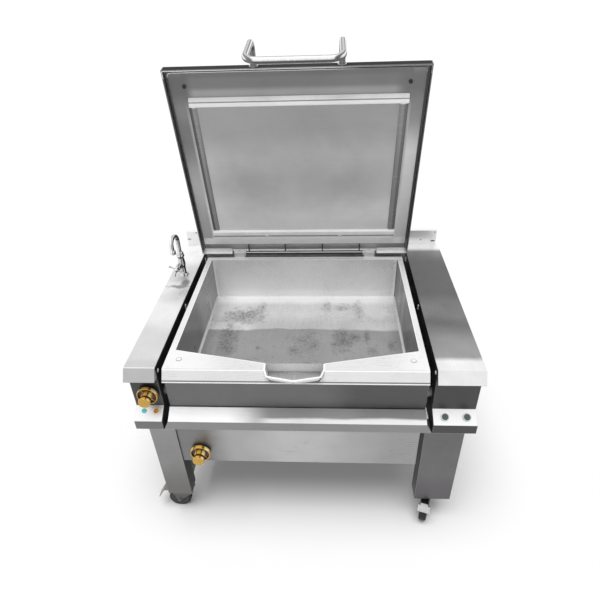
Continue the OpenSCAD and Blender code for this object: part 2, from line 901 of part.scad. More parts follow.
// Pan
module vessel() {
    shell_h = top_z - sheet - base_top_z;
    color("silver") placed() {
        difference() {
            union() {
                translate([0, 0, base_top_z]) linear_extrude(height = shell_h)
                    polygon(grow(outline, vessel_t));
                translate([0, 0, top_z - vessel_t]) linear_extrude(height = vessel_t)
                    polygon([[-pan_x, 0], [pan_x, 0], [pan_x, pan_d], [-pan_x, pan_d]]);
                along_x(-pan_x, pan_x) polygon(fold(nosing_path(recess), sheet));
                for (x = [-pan_x, pan_x - sheet])
                    along_x(x, x + sheet) polygon(nosing_path(recess));
                for (x = [-pan_x, pan_x - sheet])
                    block([x, 0, top_z - edge_drop], [x + sheet, pan_d, top_z - over]);
                block([-pan_x, pan_d - sheet, top_z - edge_drop], [pan_x, pan_d, top_z - over]);
            }
            translate([0, 0, floor_z]) linear_extrude(height = cavity_depth + over)
                polygon(outline);
            // notch for the spout, deeper behind the nosing
            for (s = [-1, 1])
                along_y(-nosing_out - over, 0)
                    polygon([[0, notch_z], [s * (spout_x - notch_in), notch_z],
                             [s * (spout_x - notch_mid_in), nosing_z + notch_mid_up],
                             [s * (spout_x + gap), nosing_z + notch_side_up],
                             [s * (spout_x + gap), top_z + over], [0, top_z + over]]);
            block([-spout_x, -over, root_z - spout_t / 2],
                  [spout_x, spout_root_y + over, top_z + over]);
        }
        for (s = [-1, 1])
            rod_z(top_z - sheet, top_z + lid_gap / 2, s * stud_x, stud_y, stud_d);
    }
}
stud_x = 439;
stud_y = 52;
stud_d = 22;

// Spout: on each side a floor plate, a lip plate that leans out, and a side wall
module spout_plate(points) {
    hull() {
        for (p = points)
            translate(p) cube(spout_t, center = true);
    }
}

module pour_spout() {
    edge_z = top_z - spout_t / 2;
    side_x = spout_x - spout_t / 2;
    root_y = spout_root_y - spout_t / 2;
    fold_z = root_z + spout_rise;
    mid = [0, root_y, root_z];
    tip = [0, spout_t / 2 - spout_out, edge_z];
    tip_fold = [0, spout_fold_y - spout_fold_tip, fold_z];
    color("white") placed()
        for (s = [-1, 1]) {
            outer = [s * side_x, root_y, root_z];
            corner = [s * spout_tip_x, spout_side_y, edge_z];
            corner_fold = [s * spout_fold_x, spout_fold_y, fold_z];
            spout_plate([mid, outer, corner_fold, tip_fold]);
            spout_plate([tip_fold, corner_fold, corner, tip]);
            spout_plate([outer, corner_fold, corner, [s * side_x, root_y, edge_z],
                         [s * side_x, 0, edge_z]]);
        }
}
root_z = top_z - spout_floor_drop;
nosing_z = top_z - nosing_drop;
notch_z = nosing_z + notch_up;

// Casing: front, chamfered lower edge, bottom and rear in one sheet, and two sides.
// The chamfer clears the front legs.
function casing_path() = [[recess, top_z - vessel_t], [recess, casing_bottom_z + casing_nose],
    [recess + casing_nose, casing_bottom_z], [pan_d - sheet, casing_bottom_z],
    [pan_d - sheet, top_z - vessel_t]];

module pan_casing() {
    side = pan_x - sheet;
    color("silver") placed() difference() {
        union() {
            along_x(-side, side) polygon(fold(casing_path(), sheet));
            for (x = [-side, side - sheet])
                along_x(x, x + sheet) polygon(casing_path());
            block([-front_x, recess, casing_bottom_z + casing_nose],
                  [front_x, recess + sheet, top_z - nosing_drop]);
        }
        block([-pan_x, -over, top_z - nosing_drop], [pan_x, recess + 2 * sheet, top_z]);
        block([-spout_x, -over, root_z - 2 * spout_t], [spout_x, recess + 2 * sheet, top_z]);
        rod_x(-pan_x, pan_x, axis_y, axis_z, trunnion_d + bore_gap);
    }
}

module base_plate() {
    color("dimgray") placed() translate([0, 0, base_z]) linear_extrude(height = base_t)
        polygon(grow(outline, -base_inset));
}

// Tubular elements under the base plate, as hairpins side by side
module heating_elements() {
    x1 = cav_x - element_end;
    y0 = bar_y(0) + bar_w;
    row_pitch = 2 * element_pitch * element_row_share;
    color("darkred") placed()
        for (i = [0:floor((bar_y(1) - y0) / row_pitch) - 1]) {
            y = y0 + (2 * i + 1) * row_pitch / 2;
            for (k = [-1, 1])
                rod_x(-x1 + element_pitch, x1, y + k * element_pitch / 2, element_z, element_d);
            translate([-x1 + element_pitch, y, element_z]) rotate([0, 0, 90])
                rotate_extrude(angle = 180) translate([element_pitch / 2, 0]) circle(d = element_d);
        }
}

function bar_y(i) = pan_d * bar_y_shares[i];

// Mineral wool in front of, behind and under the cavity, clear of the cradle's bars
module insulation() {
    top = top_z - nosing_drop - wool_gap;
    lining = [for (i = [0:len(casing_path()) - 1]) side(casing_path(), i, sheet + gap)];
    color("khaki") placed() difference() {
        along_x(-cav_x, cav_x) polygon(lining);
        block([-pan_x, -over, top], [pan_x, pan_d + over, top_z + over]);
        translate([0, 0, element_z - element_d / 2 - wool_gap]) linear_extrude(height = top_z)
            polygon(grow(outline, vessel_t));
        for (i = [0, 1])
            block([-pan_x, bar_y(i) - wool_gap, 0], [pan_x, bar_y(i) + bar_w + wool_gap, top_z]);
        block([-spout_x, 0, root_z - 3 * spout_t], [spout_x, spout_root_y, top_z]);
    }
}

// Cradle: a plate at each side of the cavity and two bars under it
module tilt_cradle() {
    low = casing_bottom_z + sheet + gap;
    front = recess + cradle_nose;
    side = [[front, low + cradle_low], [front + cradle_low, low], [pan_d - cradle_rear, low],
            [pan_d - cradle_rear, base_z + plate_t], [axis_y + flange_d, base_z + plate_t],
            [axis_y + flange_d / 2, axis_z + flange_d / 2], [front, axis_z + flange_d / 2]];
    color("darkgray") placed() {
        for (s = [-1, 1])
            along_x(min(s * plate_x, s * (plate_x + plate_t)),
                    max(s * plate_x, s * (plate_x + plate_t)))
                polygon(side);
        for (i = [0, 1])
            block([-plate_x, bar_y(i), low], [plate_x, bar_y(i) + bar_w, base_z]);
    }
}

// Trunnions: a flange against each cradle plate and a shaft through the bearing.
// The right one carries the worm wheel.
module trunnions() {
    x0 = plate_x + plate_t;
    x1 = pan_x - 2 * sheet - gap;
    color("silver") placed() {
        rod_x(-x1, -x0, axis_y, axis_z, flange_d);
        rod_x(-box_x, -x0, axis_y, axis_z, trunnion_d);
        rod_x(x0, x1, axis_y, axis_z, flange_d);
        rod_x(x0, inner_x + trunnion_end, axis_y, axis_z, trunnion_d);
        rod_x(gear_x - wheel_gear_t / 2, gear_x + wheel_gear_t / 2, axis_y, axis_z, wheel_gear_d);
    }
}

// Hinge blocks on the rear of the rim with the shaft between them
module hinge_bracket() {
    y0 = pan_d;
    y1 = hinge_y + hinge_tube_d / 2;
    color("silver") placed() {
        for (s = [-1, 1]) {
            xa = s * (hinge_span + block_gap);
            xb = s * (hinge_span + block_gap + block_l);
            block([min(xa, xb), y0, top_z - edge_drop], [max(xa, xb), y1, hinge_z]);
            rod_x(min(xa, xb), max(xa, xb), hinge_y, hinge_z, hinge_tube_d);
        }
        rod_x(-hinge_span - block_gap, hinge_span + block_gap, hinge_y, hinge_z, hinge_shaft_d);
    }
}

// Lid, drawn closed and then swung open about its hinge
module opened() {
    placed() translate([0, hinge_y, hinge_z]) rotate([-lid_open, 0, 0])
        translate([0, -hinge_y, -hinge_z]) children();
}
lid_front_y = lid_rear_y - lid_l;

module lid_skin() {
    x = lid_w / 2;
    low = lid_closed_z - lid_h;
    cut = hinge_span + block_gap + block_l + 2 * bore_gap;
    color("gainsboro") opened() difference() {
        block([-x, lid_front_y, low], [x, lid_rear_y, lid_closed_z]);
        block([-x + sheet, lid_front_y + sheet, low - over],
              [x - sheet, lid_rear_y - sheet, lid_closed_z - sheet]);
        block([-cut, lid_rear_y - 2 * sheet, low - over],
              [cut, lid_rear_y + over, lid_closed_z - sheet]);
    }
}

// Inner sheet of the lid, welded inside the skin
module lid_lining() {
    x = lid_w / 2 - lining_in;
    z = lid_closed_z - sheet - lining_gap;
    path = [[lid_front_y + lining_in, lid_closed_z - sheet], [lid_front_y + lining_in, z],
            [lid_rear_y - 2 * lining_in - hinge_tube_d, z],
            [lid_rear_y - 2 * lining_in - hinge_tube_d, lid_closed_z - sheet]];
    color("gainsboro") opened() {
        along_x(-x, x) polygon(fold(path, sheet));
        for (s = [-x, x - sheet])
            block([s, path[0][0], z], [s + sheet, path[2][0], lid_closed_z - sheet]);
    }
}

// Drip frame on the lining
module lid_frame() {
    z1 = lid_closed_z - sheet - lining_gap;
    a = [-frame_x, lid_rear_y - frame_front, z1 - frame_h];
    b = [frame_x, lid_rear_y - frame_rear, z1];
    color("white") opened() difference() {
        block(a, b);
        block(a + [frame_bar, frame_bar, -over], b + [-frame_bar, -frame_bar, over]);
        // the bars are channels that open toward the lining
        difference() {
            block(a + [sheet, sheet, sheet], b + [-sheet, -sheet, over]);
            block(a + [frame_bar - sheet, frame_bar - sheet, -over],
                  b + [sheet - frame_bar, sheet - frame_bar, over]);
        }
    }
}

// Tube that turns on the hinge shaft, and the lugs that carry the lid
module lid_hinge_tube() {
    lug_t = 5;
    lug_shares = [-0.92, -0.31, 0.31, 0.92];
    color("silver") opened() difference() {
        union() {
            rod_x(-hinge_span, hinge_span, hinge_y, hinge_z, hinge_tube_d);
            for (k = lug_shares)
                along_x(hinge_span * k - lug_t / 2, hinge_span * k + lug_t / 2)
                    polygon([[hinge_y - hinge_tube_d / 4, hinge_z - hinge_tube_d / 4],
                             [hinge_y + hinge_tube_d / 4, hinge_z],
                             [lid_rear_y - 2 * sheet, lid_closed_z - sheet],
                             [lid_rear_y - lining_in * 2 - lug_t, lid_closed_z - sheet],
                             [lid_rear_y - lining_in * 2 - lug_t, hinge_z]]);
        }
        rod_x(-hinge_span - over, hinge_span + over, hinge_y, hinge_z,
              hinge_shaft_d + 2 * shaft_fit);
    }
}

module lid_handle() {
    z1 = lid_closed_z - lid_h / 2;
    y1 = lid_front_y;
    y0 = lid_front_y - handle_out;
    z0 = z1 - handle_drop;
    bend = 34;
    corner = 50;
    foot_d = 36;
    color("silver") opened() {
        for (s = [-1, 1]) {
            x = handle_x + s * handle_w / 2;
            rod_y(y0 + bend, y1, x, z1, handle_d);
            rod_y(y1 - sheet * 2, y1, x, z1, foot_d);
            translate([x, y0 + bend, z1 - bend]) rotate([0, 0, 180]) rotate([90, 0, 90])
                rotate_extrude(angle = 90) translate([bend, 0]) circle(d = handle_d);
            rod_z(z0 + corner, z1 - bend, x, y0, handle_d);
            translate([x - s * corner, y0, z0 + corner])
                rotate([90, 0, 0]) rotate([0, 0, s > 0 ? -90 : 180])
                    rotate_extrude(angle = 90) translate([corner, 0]) circle(d = handle_d);
        }
        rod_x(handle_x - handle_w / 2 + corner, handle_x + handle_w / 2 - corner, y0, z0,
              handle_d);
    }
}

module lid_buffers() {
    color("dimgray") opened()
        for (s = [-1, 1])
            rod_z(lid_closed_z - sheet - lining_gap - buffer_h, lid_closed_z - sheet - lining_gap,
                  s * buffer_x, lid_rear_y - buffer_s, buffer_d);
}

// Castors, drawn about the swivel axis with the wheel trailing toward -y
module castor(x, y, turn) {
    placed() translate([x, y, 0]) rotate([0, 0, turn]) children();
}

module fork(braked) {
    r = wheel_d / 2;
    x = wheel_w / 2 + fork_gap;
    ear = braked ? pedal_y - pedal_pin_d : -ear_y;
    translate([0, 0, head_z + head_t])
        cylinder(d = race_d, h = leg_bottom_z - head_z - head_t - shaft_fit);
    translate([0, 0, leg_bottom_z - over]) cylinder(d = kingpin_d, h = foot_t + over);
    block([-x - fork_t, -ear_y, head_z], [x + fork_t, race_d / 2, head_z + head_t]);
    for (s = [-1, 1]) {
        along_x(min(s * x, s * (x + fork_t)), max(s * x, s * (x + fork_t)))
            polygon([[race_d / 2, head_z + head_t], [ear, head_z + head_t],
                     [ear, pedal_z - pedal_pin_d], [-trail - hub_d / 2, r],
                     [-trail, r - hub_d / 2], [hub_d / 2 - trail, r],
                     [race_d / 2, head_z - hub_d / 2]]);
        rod_x(min(s * (x + fork_t), s * (x + 3 * fork_t)),
              max(s * (x + fork_t), s * (x + 3 * fork_t)), -trail, r, 2 * axle_d);
    }
    rod_x(-x - fork_t, x + fork_t, -trail, r, axle_d);
    if (braked)
        rod_x(-x - 2 * fork_t, x + 2 * fork_t, pedal_y, pedal_z, pedal_pin_d);
}

// Tyre, hub and bore
module wheel() {
    r = wheel_d / 2;
    tread = 12;
    lip = 3;
    w = wheel_w / 2;
    translate([0, -trail, r]) rotate([0, 90, 0]) rotate_extrude() polygon([
        [axle_d / 2 + shaft_fit, -w], [r / 4, -w], [r / 4, lip - w], [r - tread, lip - w],
        [r - tread, -w], [r - lip, -w], [r, lip - w], [r, w - lip], [r - lip, w],
        [r - tread, w], [r - tread, w - lip], [r / 4, w - lip], [r / 4, w],
        [axle_d / 2 + shaft_fit, w]]);
}

// Brake pedal: a barrel on the pin in the fork's front ears, and a bent plate
module pedal(reach, plate_w, bend_share, drop) {
    barrel_w = wheel_w;
    y1 = pedal_y - pedal_pin_d / 2;
    path = [[y1, pedal_z + pedal_pin_d], [y1 - (reach + y1) * bend_share, pedal_z + pedal_t],
            [-reach, pedal_z - drop]];
    difference() {
        union() {
            rod_x(-barrel_w / 2, barrel_w / 2, pedal_y, pedal_z, 2 * pedal_pin_d);
            along_x(-barrel_w / 2, barrel_w / 2)
                polygon([[pedal_y, pedal_z], path[0], path[1], path[1] - [0, pedal_t]]);
            along_x(-plate_w / 2, plate_w / 2)
                polygon(fold([path[1] + [pedal_pin_d, 0], path[1], path[2]], pedal_t));
        }
        rod_x(-barrel_w, barrel_w, pedal_y, pedal_z, pedal_pin_d + 2 * shaft_fit);
    }
}

module front_left_fork() {
    color("darkgray") castor(left_castor_x, castor_y, front_left_turn) fork(true);
}

module front_left_wheel() {
    color("black") castor(left_castor_x, castor_y, front_left_turn) wheel();
}

module front_left_pedal() {
    color("gray") castor(left_castor_x, castor_y, front_left_turn)
        pedal(left_pedal_reach, pedal_w_left, left_bend_share, left_pedal_drop);
}

module front_right_fork() {
    color("darkgray") castor(right_castor_x, castor_y, front_right_turn) fork(true);
}

module front_right_wheel() {
    color("black") castor(right_castor_x, castor_y, front_right_turn) wheel();
}

module front_right_pedal() {
    color("gray") castor(right_castor_x, castor_y, front_right_turn)
        pedal(right_pedal_reach, pedal_w_right, right_bend_share, right_pedal_drop);
}

module rear_left_fork() {
    color("darkgray") castor(rear_left_castor_x, castor_rear_y, rear_left_turn) fork(false);
}

module rear_left_wheel() {
    color("black") castor(rear_left_castor_x, castor_rear_y, rear_left_turn) wheel();
}

module rear_right_fork() {
    color("darkgray") castor(rear_right_castor_x, castor_rear_y, rear_right_turn) fork(false);
}

module rear_right_wheel() {
    color("black") castor(rear_right_castor_x, castor_rear_y, rear_right_turn) wheel();
}

front_left_leg();
front_right_leg();
rear_left_leg();
rear_right_leg();
left_side_rail();
right_side_rail();
rear_cross_rail();
front_beam();
front_panel();
left_console();
right_console();
left_worktop();
right_worktop();
left_cheek();
right_cheek();
cheek_screws();
rear_upstand();
bearings();
tilt_gearmotor();
tilt_worm();
thermostat();
selector_switch();
cyan_lamp();
amber_lamp();
button_housings();
raise_button();
lower_button();
control_box();
supply_gland();
thermostat_knob();
selector_knob();
tap_body();
tap_spout();
tap_handle();
water_pipe();
vessel();
pour_spout();
pan_casing();
base_plate();
heating_elements();
insulation();
tilt_cradle();
trunnions();
hinge_bracket();
lid_skin();
lid_lining();
lid_frame();
lid_hinge_tube();
lid_handle();
lid_buffers();
front_left_fork();
front_left_wheel();
front_left_pedal();
front_right_fork();
front_right_wheel();
front_right_pedal();
rear_left_fork();
rear_left_wheel();
rear_right_fork();
rear_right_wheel();
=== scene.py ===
import math

import bmesh
import bpy
from mathutils import Matrix, Vector

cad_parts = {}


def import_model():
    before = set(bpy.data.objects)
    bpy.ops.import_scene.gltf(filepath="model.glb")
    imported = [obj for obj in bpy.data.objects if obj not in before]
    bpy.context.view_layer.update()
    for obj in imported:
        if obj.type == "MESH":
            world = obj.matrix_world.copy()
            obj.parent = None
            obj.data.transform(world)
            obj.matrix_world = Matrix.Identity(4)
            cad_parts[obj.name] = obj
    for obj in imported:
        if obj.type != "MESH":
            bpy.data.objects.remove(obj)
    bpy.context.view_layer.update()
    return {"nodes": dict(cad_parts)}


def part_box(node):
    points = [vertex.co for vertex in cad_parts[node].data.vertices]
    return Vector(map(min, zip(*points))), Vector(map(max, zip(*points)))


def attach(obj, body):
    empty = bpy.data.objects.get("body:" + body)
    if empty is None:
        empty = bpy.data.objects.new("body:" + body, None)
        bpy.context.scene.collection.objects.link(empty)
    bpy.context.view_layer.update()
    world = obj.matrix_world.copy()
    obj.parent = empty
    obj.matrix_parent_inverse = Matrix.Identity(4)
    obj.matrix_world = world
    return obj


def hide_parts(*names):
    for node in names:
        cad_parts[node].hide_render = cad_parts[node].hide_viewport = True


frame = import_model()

# Lengths are in mm, in the unit's own coordinates: x = 0 in the middle of the pan,
# y = 0 at the worktops' front edge, z = 0 on the floor. at() gives the row frame in metres.
PAN_D = 836
pan_low, pan_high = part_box("vessel")
MID_X = -500 * (pan_low.x + pan_high.x)
MID_Y = PAN_D - 1000 * pan_high.y

# Main sizes, as in the solids
TOP_Z = 820
FLOOR_Z = 595
INNER_X = 518
UNIT_D = 968
HINGE_Y, HINGE_Z = 842, 842
LID_REAR_Y, LID_OPEN = 834, math.radians(80)
TAP, VALVE_UP = (-574, 670, TOP_Z), 64
TRAIL, WHEEL_D, WHEEL_W = 40, 100, 32

# Where the photograph was taken from: place in mm, angles in degrees, and the
# focal length and the middle of the picture in pixels of its 600
EYE = (129.844, -1317.691, 2023.056)
EYE_YAW, EYE_PITCH, EYE_ROLL = -3.66674, 34.1991, 2.03901
FOCAL_PX, MIDDLE_PX, PICTURE_PX = 486.6046, 304, 600
SENSOR_W = 36


def at(x, y, z):
    """A place in mm as a place in the scene."""
    return Vector(((x - MID_X) / 1000, (y - MID_Y) / 1000, z / 1000))


def lid_at(x, s, t):
    """A point of the open lid: s from its rear edge to its front, t the height when closed."""
    dy, dz = LID_REAR_Y - s - HINGE_Y, t - HINGE_Z
    c, n = math.cos(LID_OPEN), math.sin(LID_OPEN)
    return Vector((x, HINGE_Y + dy * c + dz * n, HINGE_Z - dy * n + dz * c))


def linear(value):
    """A display value of 0 to 255 as a linear one of 0 to 1."""
    c = value / 255
    return c / 12.92 if c <= 0.04045 else ((c + 0.055) / 1.055) ** 2.4


def colour(tone):
    """A tone of 0 to 255, or three of them, as a colour for a socket."""
    rgb = tone if isinstance(tone, tuple) else (tone, tone, tone)
    return tuple(linear(v) for v in rgb) + (1,)


# Node helpers

class Graph:
    """The nodes of one material, with the axes along which its tones change."""

    def __init__(self, name):
        self.material = bpy.data.materials.new(name)
        self.material.use_nodes = True
        self.tree = self.material.node_tree
        self.out = self.tree.nodes["Principled BSDF"]
        coords = self.node("ShaderNodeTexCoord")
        self.place, self.normal = coords.outputs["Object"], coords.outputs["Normal"]
        self.axes = {}

    def node(self, kind, values=None, **settings):
        """A new node with its inputs' values and its own settings."""
        n = self.tree.nodes.new(kind)
        for key, value in settings.items():
            setattr(n, key, value)
        for key, value in (values or {}).items():
            self.put(n.inputs[key], value)
        return n

    def put(self, socket, value):
        """Links a socket to another, or sets its value."""
        if isinstance(value, bpy.types.NodeSocket):
            self.tree.links.new(value, socket)
        else:
            socket.default_value = value

    def sum(self, a, b):
        """a + b."""
        return self.node("ShaderNodeMath", {0: a, 1: b}, operation="ADD").outputs[0]

    def product(self, a, b):
        """a times b."""
        return self.node("ShaderNodeMath", {0: a, 1: b}, operation="MULTIPLY").outputs[0]

    def ranged(self, value, a0, a1, b0, b1, smooth=True):
        """A value of a0 to a1 as one of b0 to b1, held at both ends."""
        kind = "SMOOTHSTEP" if smooth else "LINEAR"
        return self.node("ShaderNodeMapRange", {"Value": value, "From Min": a0, "From Max": a1,
                                                "To Min": b0, "To Max": b1},
                         interpolation_type=kind).outputs["Result"]

    def noise(self, scale, detail=3, stretch=(1, 1, 1), rough=0.5, seed=0.0):
        """A noise about 0.5, which each seed moves elsewhere."""
        spot = self.node("ShaderNodeMapping", {"Vector": self.place, "Scale": stretch,
                                               "Location": (seed, seed * 0.7, seed * 1.3)})
        return self.node("ShaderNodeTexNoise", {"Vector": spot.outputs[0], "Scale": scale,
                                                "Detail": detail, "Roughness": rough}).outputs[0]

    def axis(self, name):
        """The coordinate of that name: a place in mm, or a part of the normal."""
        if name not in self.axes:
            c, n = math.cos(LID_OPEN), math.sin(LID_OPEN)
            lines = {
                "x": ((1000, 0, 0), MID_X), "y": ((0, 1000, 0), MID_Y), "z": ((0, 0, 1000), 0),
                "s": ((0, -1000 * c, 1000 * n),
                      LID_REAR_Y - HINGE_Y - c * (MID_Y - HINGE_Y) - n * HINGE_Z),
                "t": ((0, 1000 * n, 1000 * c), HINGE_Z + n * (MID_Y - HINGE_Y) - c * HINGE_Z),
                "nx": ((1, 0, 0), 0), "ny": ((0, 1, 0), 0), "nz": ((0, 0, 1), 0),
                "nt": ((0, n, c), 0)}
            line, start = lines[name]
            source = self.normal if name[0] == "n" else self.place
            dot = self.node("ShaderNodeVectorMath", {0: source, 1: line},
                            operation="DOT_PRODUCT").outputs["Value"]
            self.axes[name] = self.sum(dot, start)
        return self.axes[name]

    def band(self, name, low, high, soft=4, wave=0):
        """1 where that coordinate lies from low to high, softly, with a waving border."""
        value = self.axis(name)
        if wave:
            swing = self.ranged(self.noise(5, seed=low), 0.3, 0.7, -wave, wave, False)
            value = self.sum(value, swing)
        up = self.ranged(value, low - soft, low + soft, 0, 1)
        down = self.ranged(value, high - soft, high + soft, 1, 0)
        return self.product(up, down)

    def blob(self, middle, radii, soft=0.3, wave=0.25, scale=14):
        """1 inside a ragged blob about a point."""
        turned = self.node("ShaderNodeVectorMath", {0: self.place, 1: at(*middle)},
                           operation="SUBTRACT").outputs[0]
        sized = self.node("ShaderNodeVectorMath", {0: turned, 1: [1000 / r for r in radii]},
                          operation="MULTIPLY").outputs[0]
        far = self.node("ShaderNodeVectorMath", {0: sized}, operation="LENGTH").outputs["Value"]
        ragged = self.ranged(self.noise(scale, 4, seed=middle[0] / 90), 0.3, 0.7, -wave, wave, False)
        return self.ranged(self.sum(far, ragged), 1 - soft, 1 + soft, 1, 0)

    def mask(self, terms):
        """1 where all of the bands and blobs are."""
        value = None
        for term in terms:
            if term[0] == "blob":
                one = self.blob(*term[1:])
            else:
                one = self.band(*term)
            value = one if value is None else self.product(value, one)
        return value

    def mix(self, share, a, b, how="MIX"):
        """a, with b over it by a share."""
        n = self.node("ShaderNodeMix", {0: share, 6: a, 7: b}, data_type="RGBA", blend_type=how)
        return n.outputs[2]

    def layered(self, tone, layers):
        """A base tone with other tones over it, each where its mask is."""
        value = self.node("ShaderNodeRGB").outputs[0]
        value.default_value = colour(tone)
        for terms, over in layers:
            value = self.mix(self.mask(terms), value, colour(over))
        return value

    def lit(self, value, noise, low, high):
        """value made darker and lighter by a noise."""
        amount = self.ranged(noise, 0.3, 0.7, low, high, False)
        grey = self.node("ShaderNodeCombineColor", {0: amount, 1: amount, 2: amount}).outputs[0]
        return self.mix(1.0, value, grey, "MULTIPLY")

    def edges(self, radius):
        """Where the surface turns over an edge, and its rounded normal there."""
        bevel = self.node("ShaderNodeBevel", {"Radius": radius}, samples=4).outputs[0]
        plain = self.node("ShaderNodeNewGeometry").outputs["Normal"]
        dot = self.node("ShaderNodeVectorMath", {0: bevel, 1: plain},
                        operation="DOT_PRODUCT").outputs["Value"]
        return self.ranged(dot, 0.99, 0.8, 0, 1), bevel

    def bump(self, height, strength, distance, normal=None):
        """Fine relief on the whole material."""
        values = {"Height": height, "Strength": strength, "Distance": distance}
        if normal is not None:
            values["Normal"] = normal
        self.put(self.out.inputs["Normal"], self.node("ShaderNodeBump", values).outputs[0])


# For each direction of brushing: how fine the grain is along x, y and z
GRAINS = {"x": (1, 60, 60), "y": (60, 1, 60), "z": (60, 60, 1)}


def steel(name, tone, layers=(), rough=0.34, grain="x", cloud=0.05, streak=0.035, edge=0.5,
          edge_tone=238, metal=0.7):
    """Satin stainless sheet: brushed grain, cloudy wiping marks, and folded edges made bright by a
    painted highlight with some edge wear.
    """
    g = Graph(name)
    clouds = g.noise(4.5, 4, rough=0.6, seed=len(name) * 0.37)
    fine = g.noise(9, 3, stretch=GRAINS[grain], rough=0.7, seed=1.3)
    value = g.layered(tone, layers)
    value = g.lit(value, clouds, 1 - cloud, 1 + cloud)
    value = g.lit(value, fine, 1 - streak, 1 + streak)
    turn, rounded = g.edges(0.0022)
    # Edges mixed towards edge_tone: a painted highlight, partly edge wear.
    value = g.mix(g.product(turn, edge), value, colour(edge_tone))
    g.put(g.out.inputs["Base Color"], value)
    g.out.inputs["Metallic"].default_value = metal
    worn = g.ranged(clouds, 0.35, 0.65, rough * 0.85, rough * 1.2, False)
    g.put(g.out.inputs["Roughness"], g.sum(worn, g.ranged(fine, 0.3, 0.7, -0.04, 0.04, False)))
    g.bump(fine, 0.12, 0.0004, rounded)
    return g.material


def shiny(name, tone, layers=(), rough=0.12, metal=0.25):
    """Polished metal, with the bright and dark streaks of its reflections as layers."""
    g = Graph(name)
    smear = g.noise(60, 3, seed=2.1)
    value = g.layered(tone, layers)
    value = g.lit(value, smear, 0.94, 1.06)
    g.put(g.out.inputs["Base Color"], value)
    g.out.inputs["Metallic"].default_value = metal
    g.put(g.out.inputs["Roughness"], g.ranged(smear, 0.3, 0.7, rough * 0.7, rough * 1.5, False))
    g.bump(g.noise(220, 2, seed=3.7), 0.05, 0.0002)
    return g.material


def coated(name, tone, rough=0.45, grit=900, bump=0.2, edge_tone=None, mottle=0.08, shine=0.5):
    """Paint, plastic or rubber: fine grit, uneven gloss and slightly paler edges, partly wear and partly
    a painted highlight.
    """
    g = Graph(name)
    clouds = g.noise(14, 4, seed=len(name) * 0.21)
    fine = g.noise(grit, 2, seed=0.9)
    base = g.node("ShaderNodeRGB").outputs[0]
    base.default_value = colour(tone)
    value = g.lit(base, clouds, 1 - mottle, 1 + mottle)
    turn, rounded = g.edges(0.0012)
    pale = edge_tone if edge_tone is not None else tone
    # Edges mixed towards the pale tone: a painted highlight, partly edge wear.
    value = g.mix(g.product(turn, 0.6), value, colour(pale))
    g.put(g.out.inputs["Base Color"], value)
    g.put(g.out.inputs["Roughness"], g.ranged(clouds, 0.3, 0.7, rough * 0.85, rough * 1.15, False))
    g.out.inputs["Specular IOR Level"].default_value = shine
    g.bump(fine, bump, 0.0003, rounded)
    return g.material


def lens(name, tone):
    """Coloured lamp lens with a fine moulded grain."""
    g = Graph(name)
    value = g.layered(tone, [])
    value = g.lit(value, g.noise(90, 3), 0.8, 1.15)
    g.put(g.out.inputs["Base Color"], value)
    g.out.inputs["Roughness"].default_value = 0.18
    g.out.inputs["Coat Weight"].default_value = 0.6
    g.bump(g.noise(260, 1), 0.15, 0.0004)
    return g.material


def fibrous(name, tone):
    """Mineral wool."""
    g = Graph(name)
    value = g.layered(tone, [])
    tufts = g.noise(80, 6, stretch=(1, 1, 4), rough=0.8)
    value = g.lit(value, tufts, 0.7, 1.2)
    g.put(g.out.inputs["Base Color"], value)
    g.out.inputs["Roughness"].default_value = 0.95
    g.bump(tufts, 0.8, 0.004)
    return g.material


def facing_front(tone, high=-0.6):
    """A layer of painted light, its tone given, for the faces that look to the front."""
    return [("ny", -2, high, 0.1)], tone


# Materials: a base tone, then layers of bands and blobs with the tone of each. On the sheet, chrome and
# gold these layers are painted reflections, highlights and shade, set by place and by the way a face
# looks.

ON_TOP = [("nz", 0.8, 2, 0.1)]
TO_FRONT, TO_REAR = ("ny", -2, -0.7, 0.1), ("ny", 0.6, 2, 0.1)
TO_LEFT, TO_RIGHT = ("nx", -2, -0.7, 0.1), ("nx", 0.7, 2, 0.1)
TO_FLOOR, SLOPED = ("nz", -2, -0.6, 0.1), ("nz", 0.5, 2, 0.1)

# Left worktop: painted reflections in bands from front to rear, a painted shade patch with the painted
# reflection of the tap beside it, painted shade on the front face and a painted highlight along the
# front edge.
LEFT_TOP = steel("left_top_steel", 226, [
    facing_front(180, -0.3),
    (ON_TOP + [("y", 600, 780, 60, 40)], 214), (ON_TOP + [("y", 780, 1000, 40, 20)], 246),
    (ON_TOP + [("y", -20, 250, 120, 40)], 206),
    (ON_TOP + [("blob", (-560, 480, 820), (44, 60, 60), 0.9, 0.4, 12)], 206),
    (ON_TOP + [("blob", (-548, 590, 820), (16, 34, 60), 0.5, 0.4, 30)], 150),
    (ON_TOP + [("blob", (-572, 560, 820), (40, 13, 60), 0.5, 0.6, 40)], 150),
    (ON_TOP + [("y", -20, 46, 18)], 196), (ON_TOP + [("y", -20, 3, 1.5)], 255)],
    grain="y", cloud=0.1, metal=0.35)
# Right worktop: painted reflections in bands from front to rear, a bright painted reflection on its
# front face and a painted highlight near the front edge.
RIGHT_TOP = steel("right_top_steel", 137, [
    facing_front(234, -0.3),
    (ON_TOP + [("y", 250, 860, 90, 20)], 98), (ON_TOP + [("y", 300, 440, 60, 30)], 128),
    (ON_TOP + [("y", 905, 1100, 22)], 244), (ON_TOP + [("y", -20, 150, 90, 30)], 156),
    (ON_TOP + [("y", -20, 62, 16, 8)], 240)], grain="y", cloud=0.14, streak=0.05)
# Upstand: painted shade on its rear face and on its lower part.
UPSTAND = steel("upstand_steel", 244, [([TO_REAR], 168), ([("z", 0, 700, 20)], 150)],
                cloud=0.03)
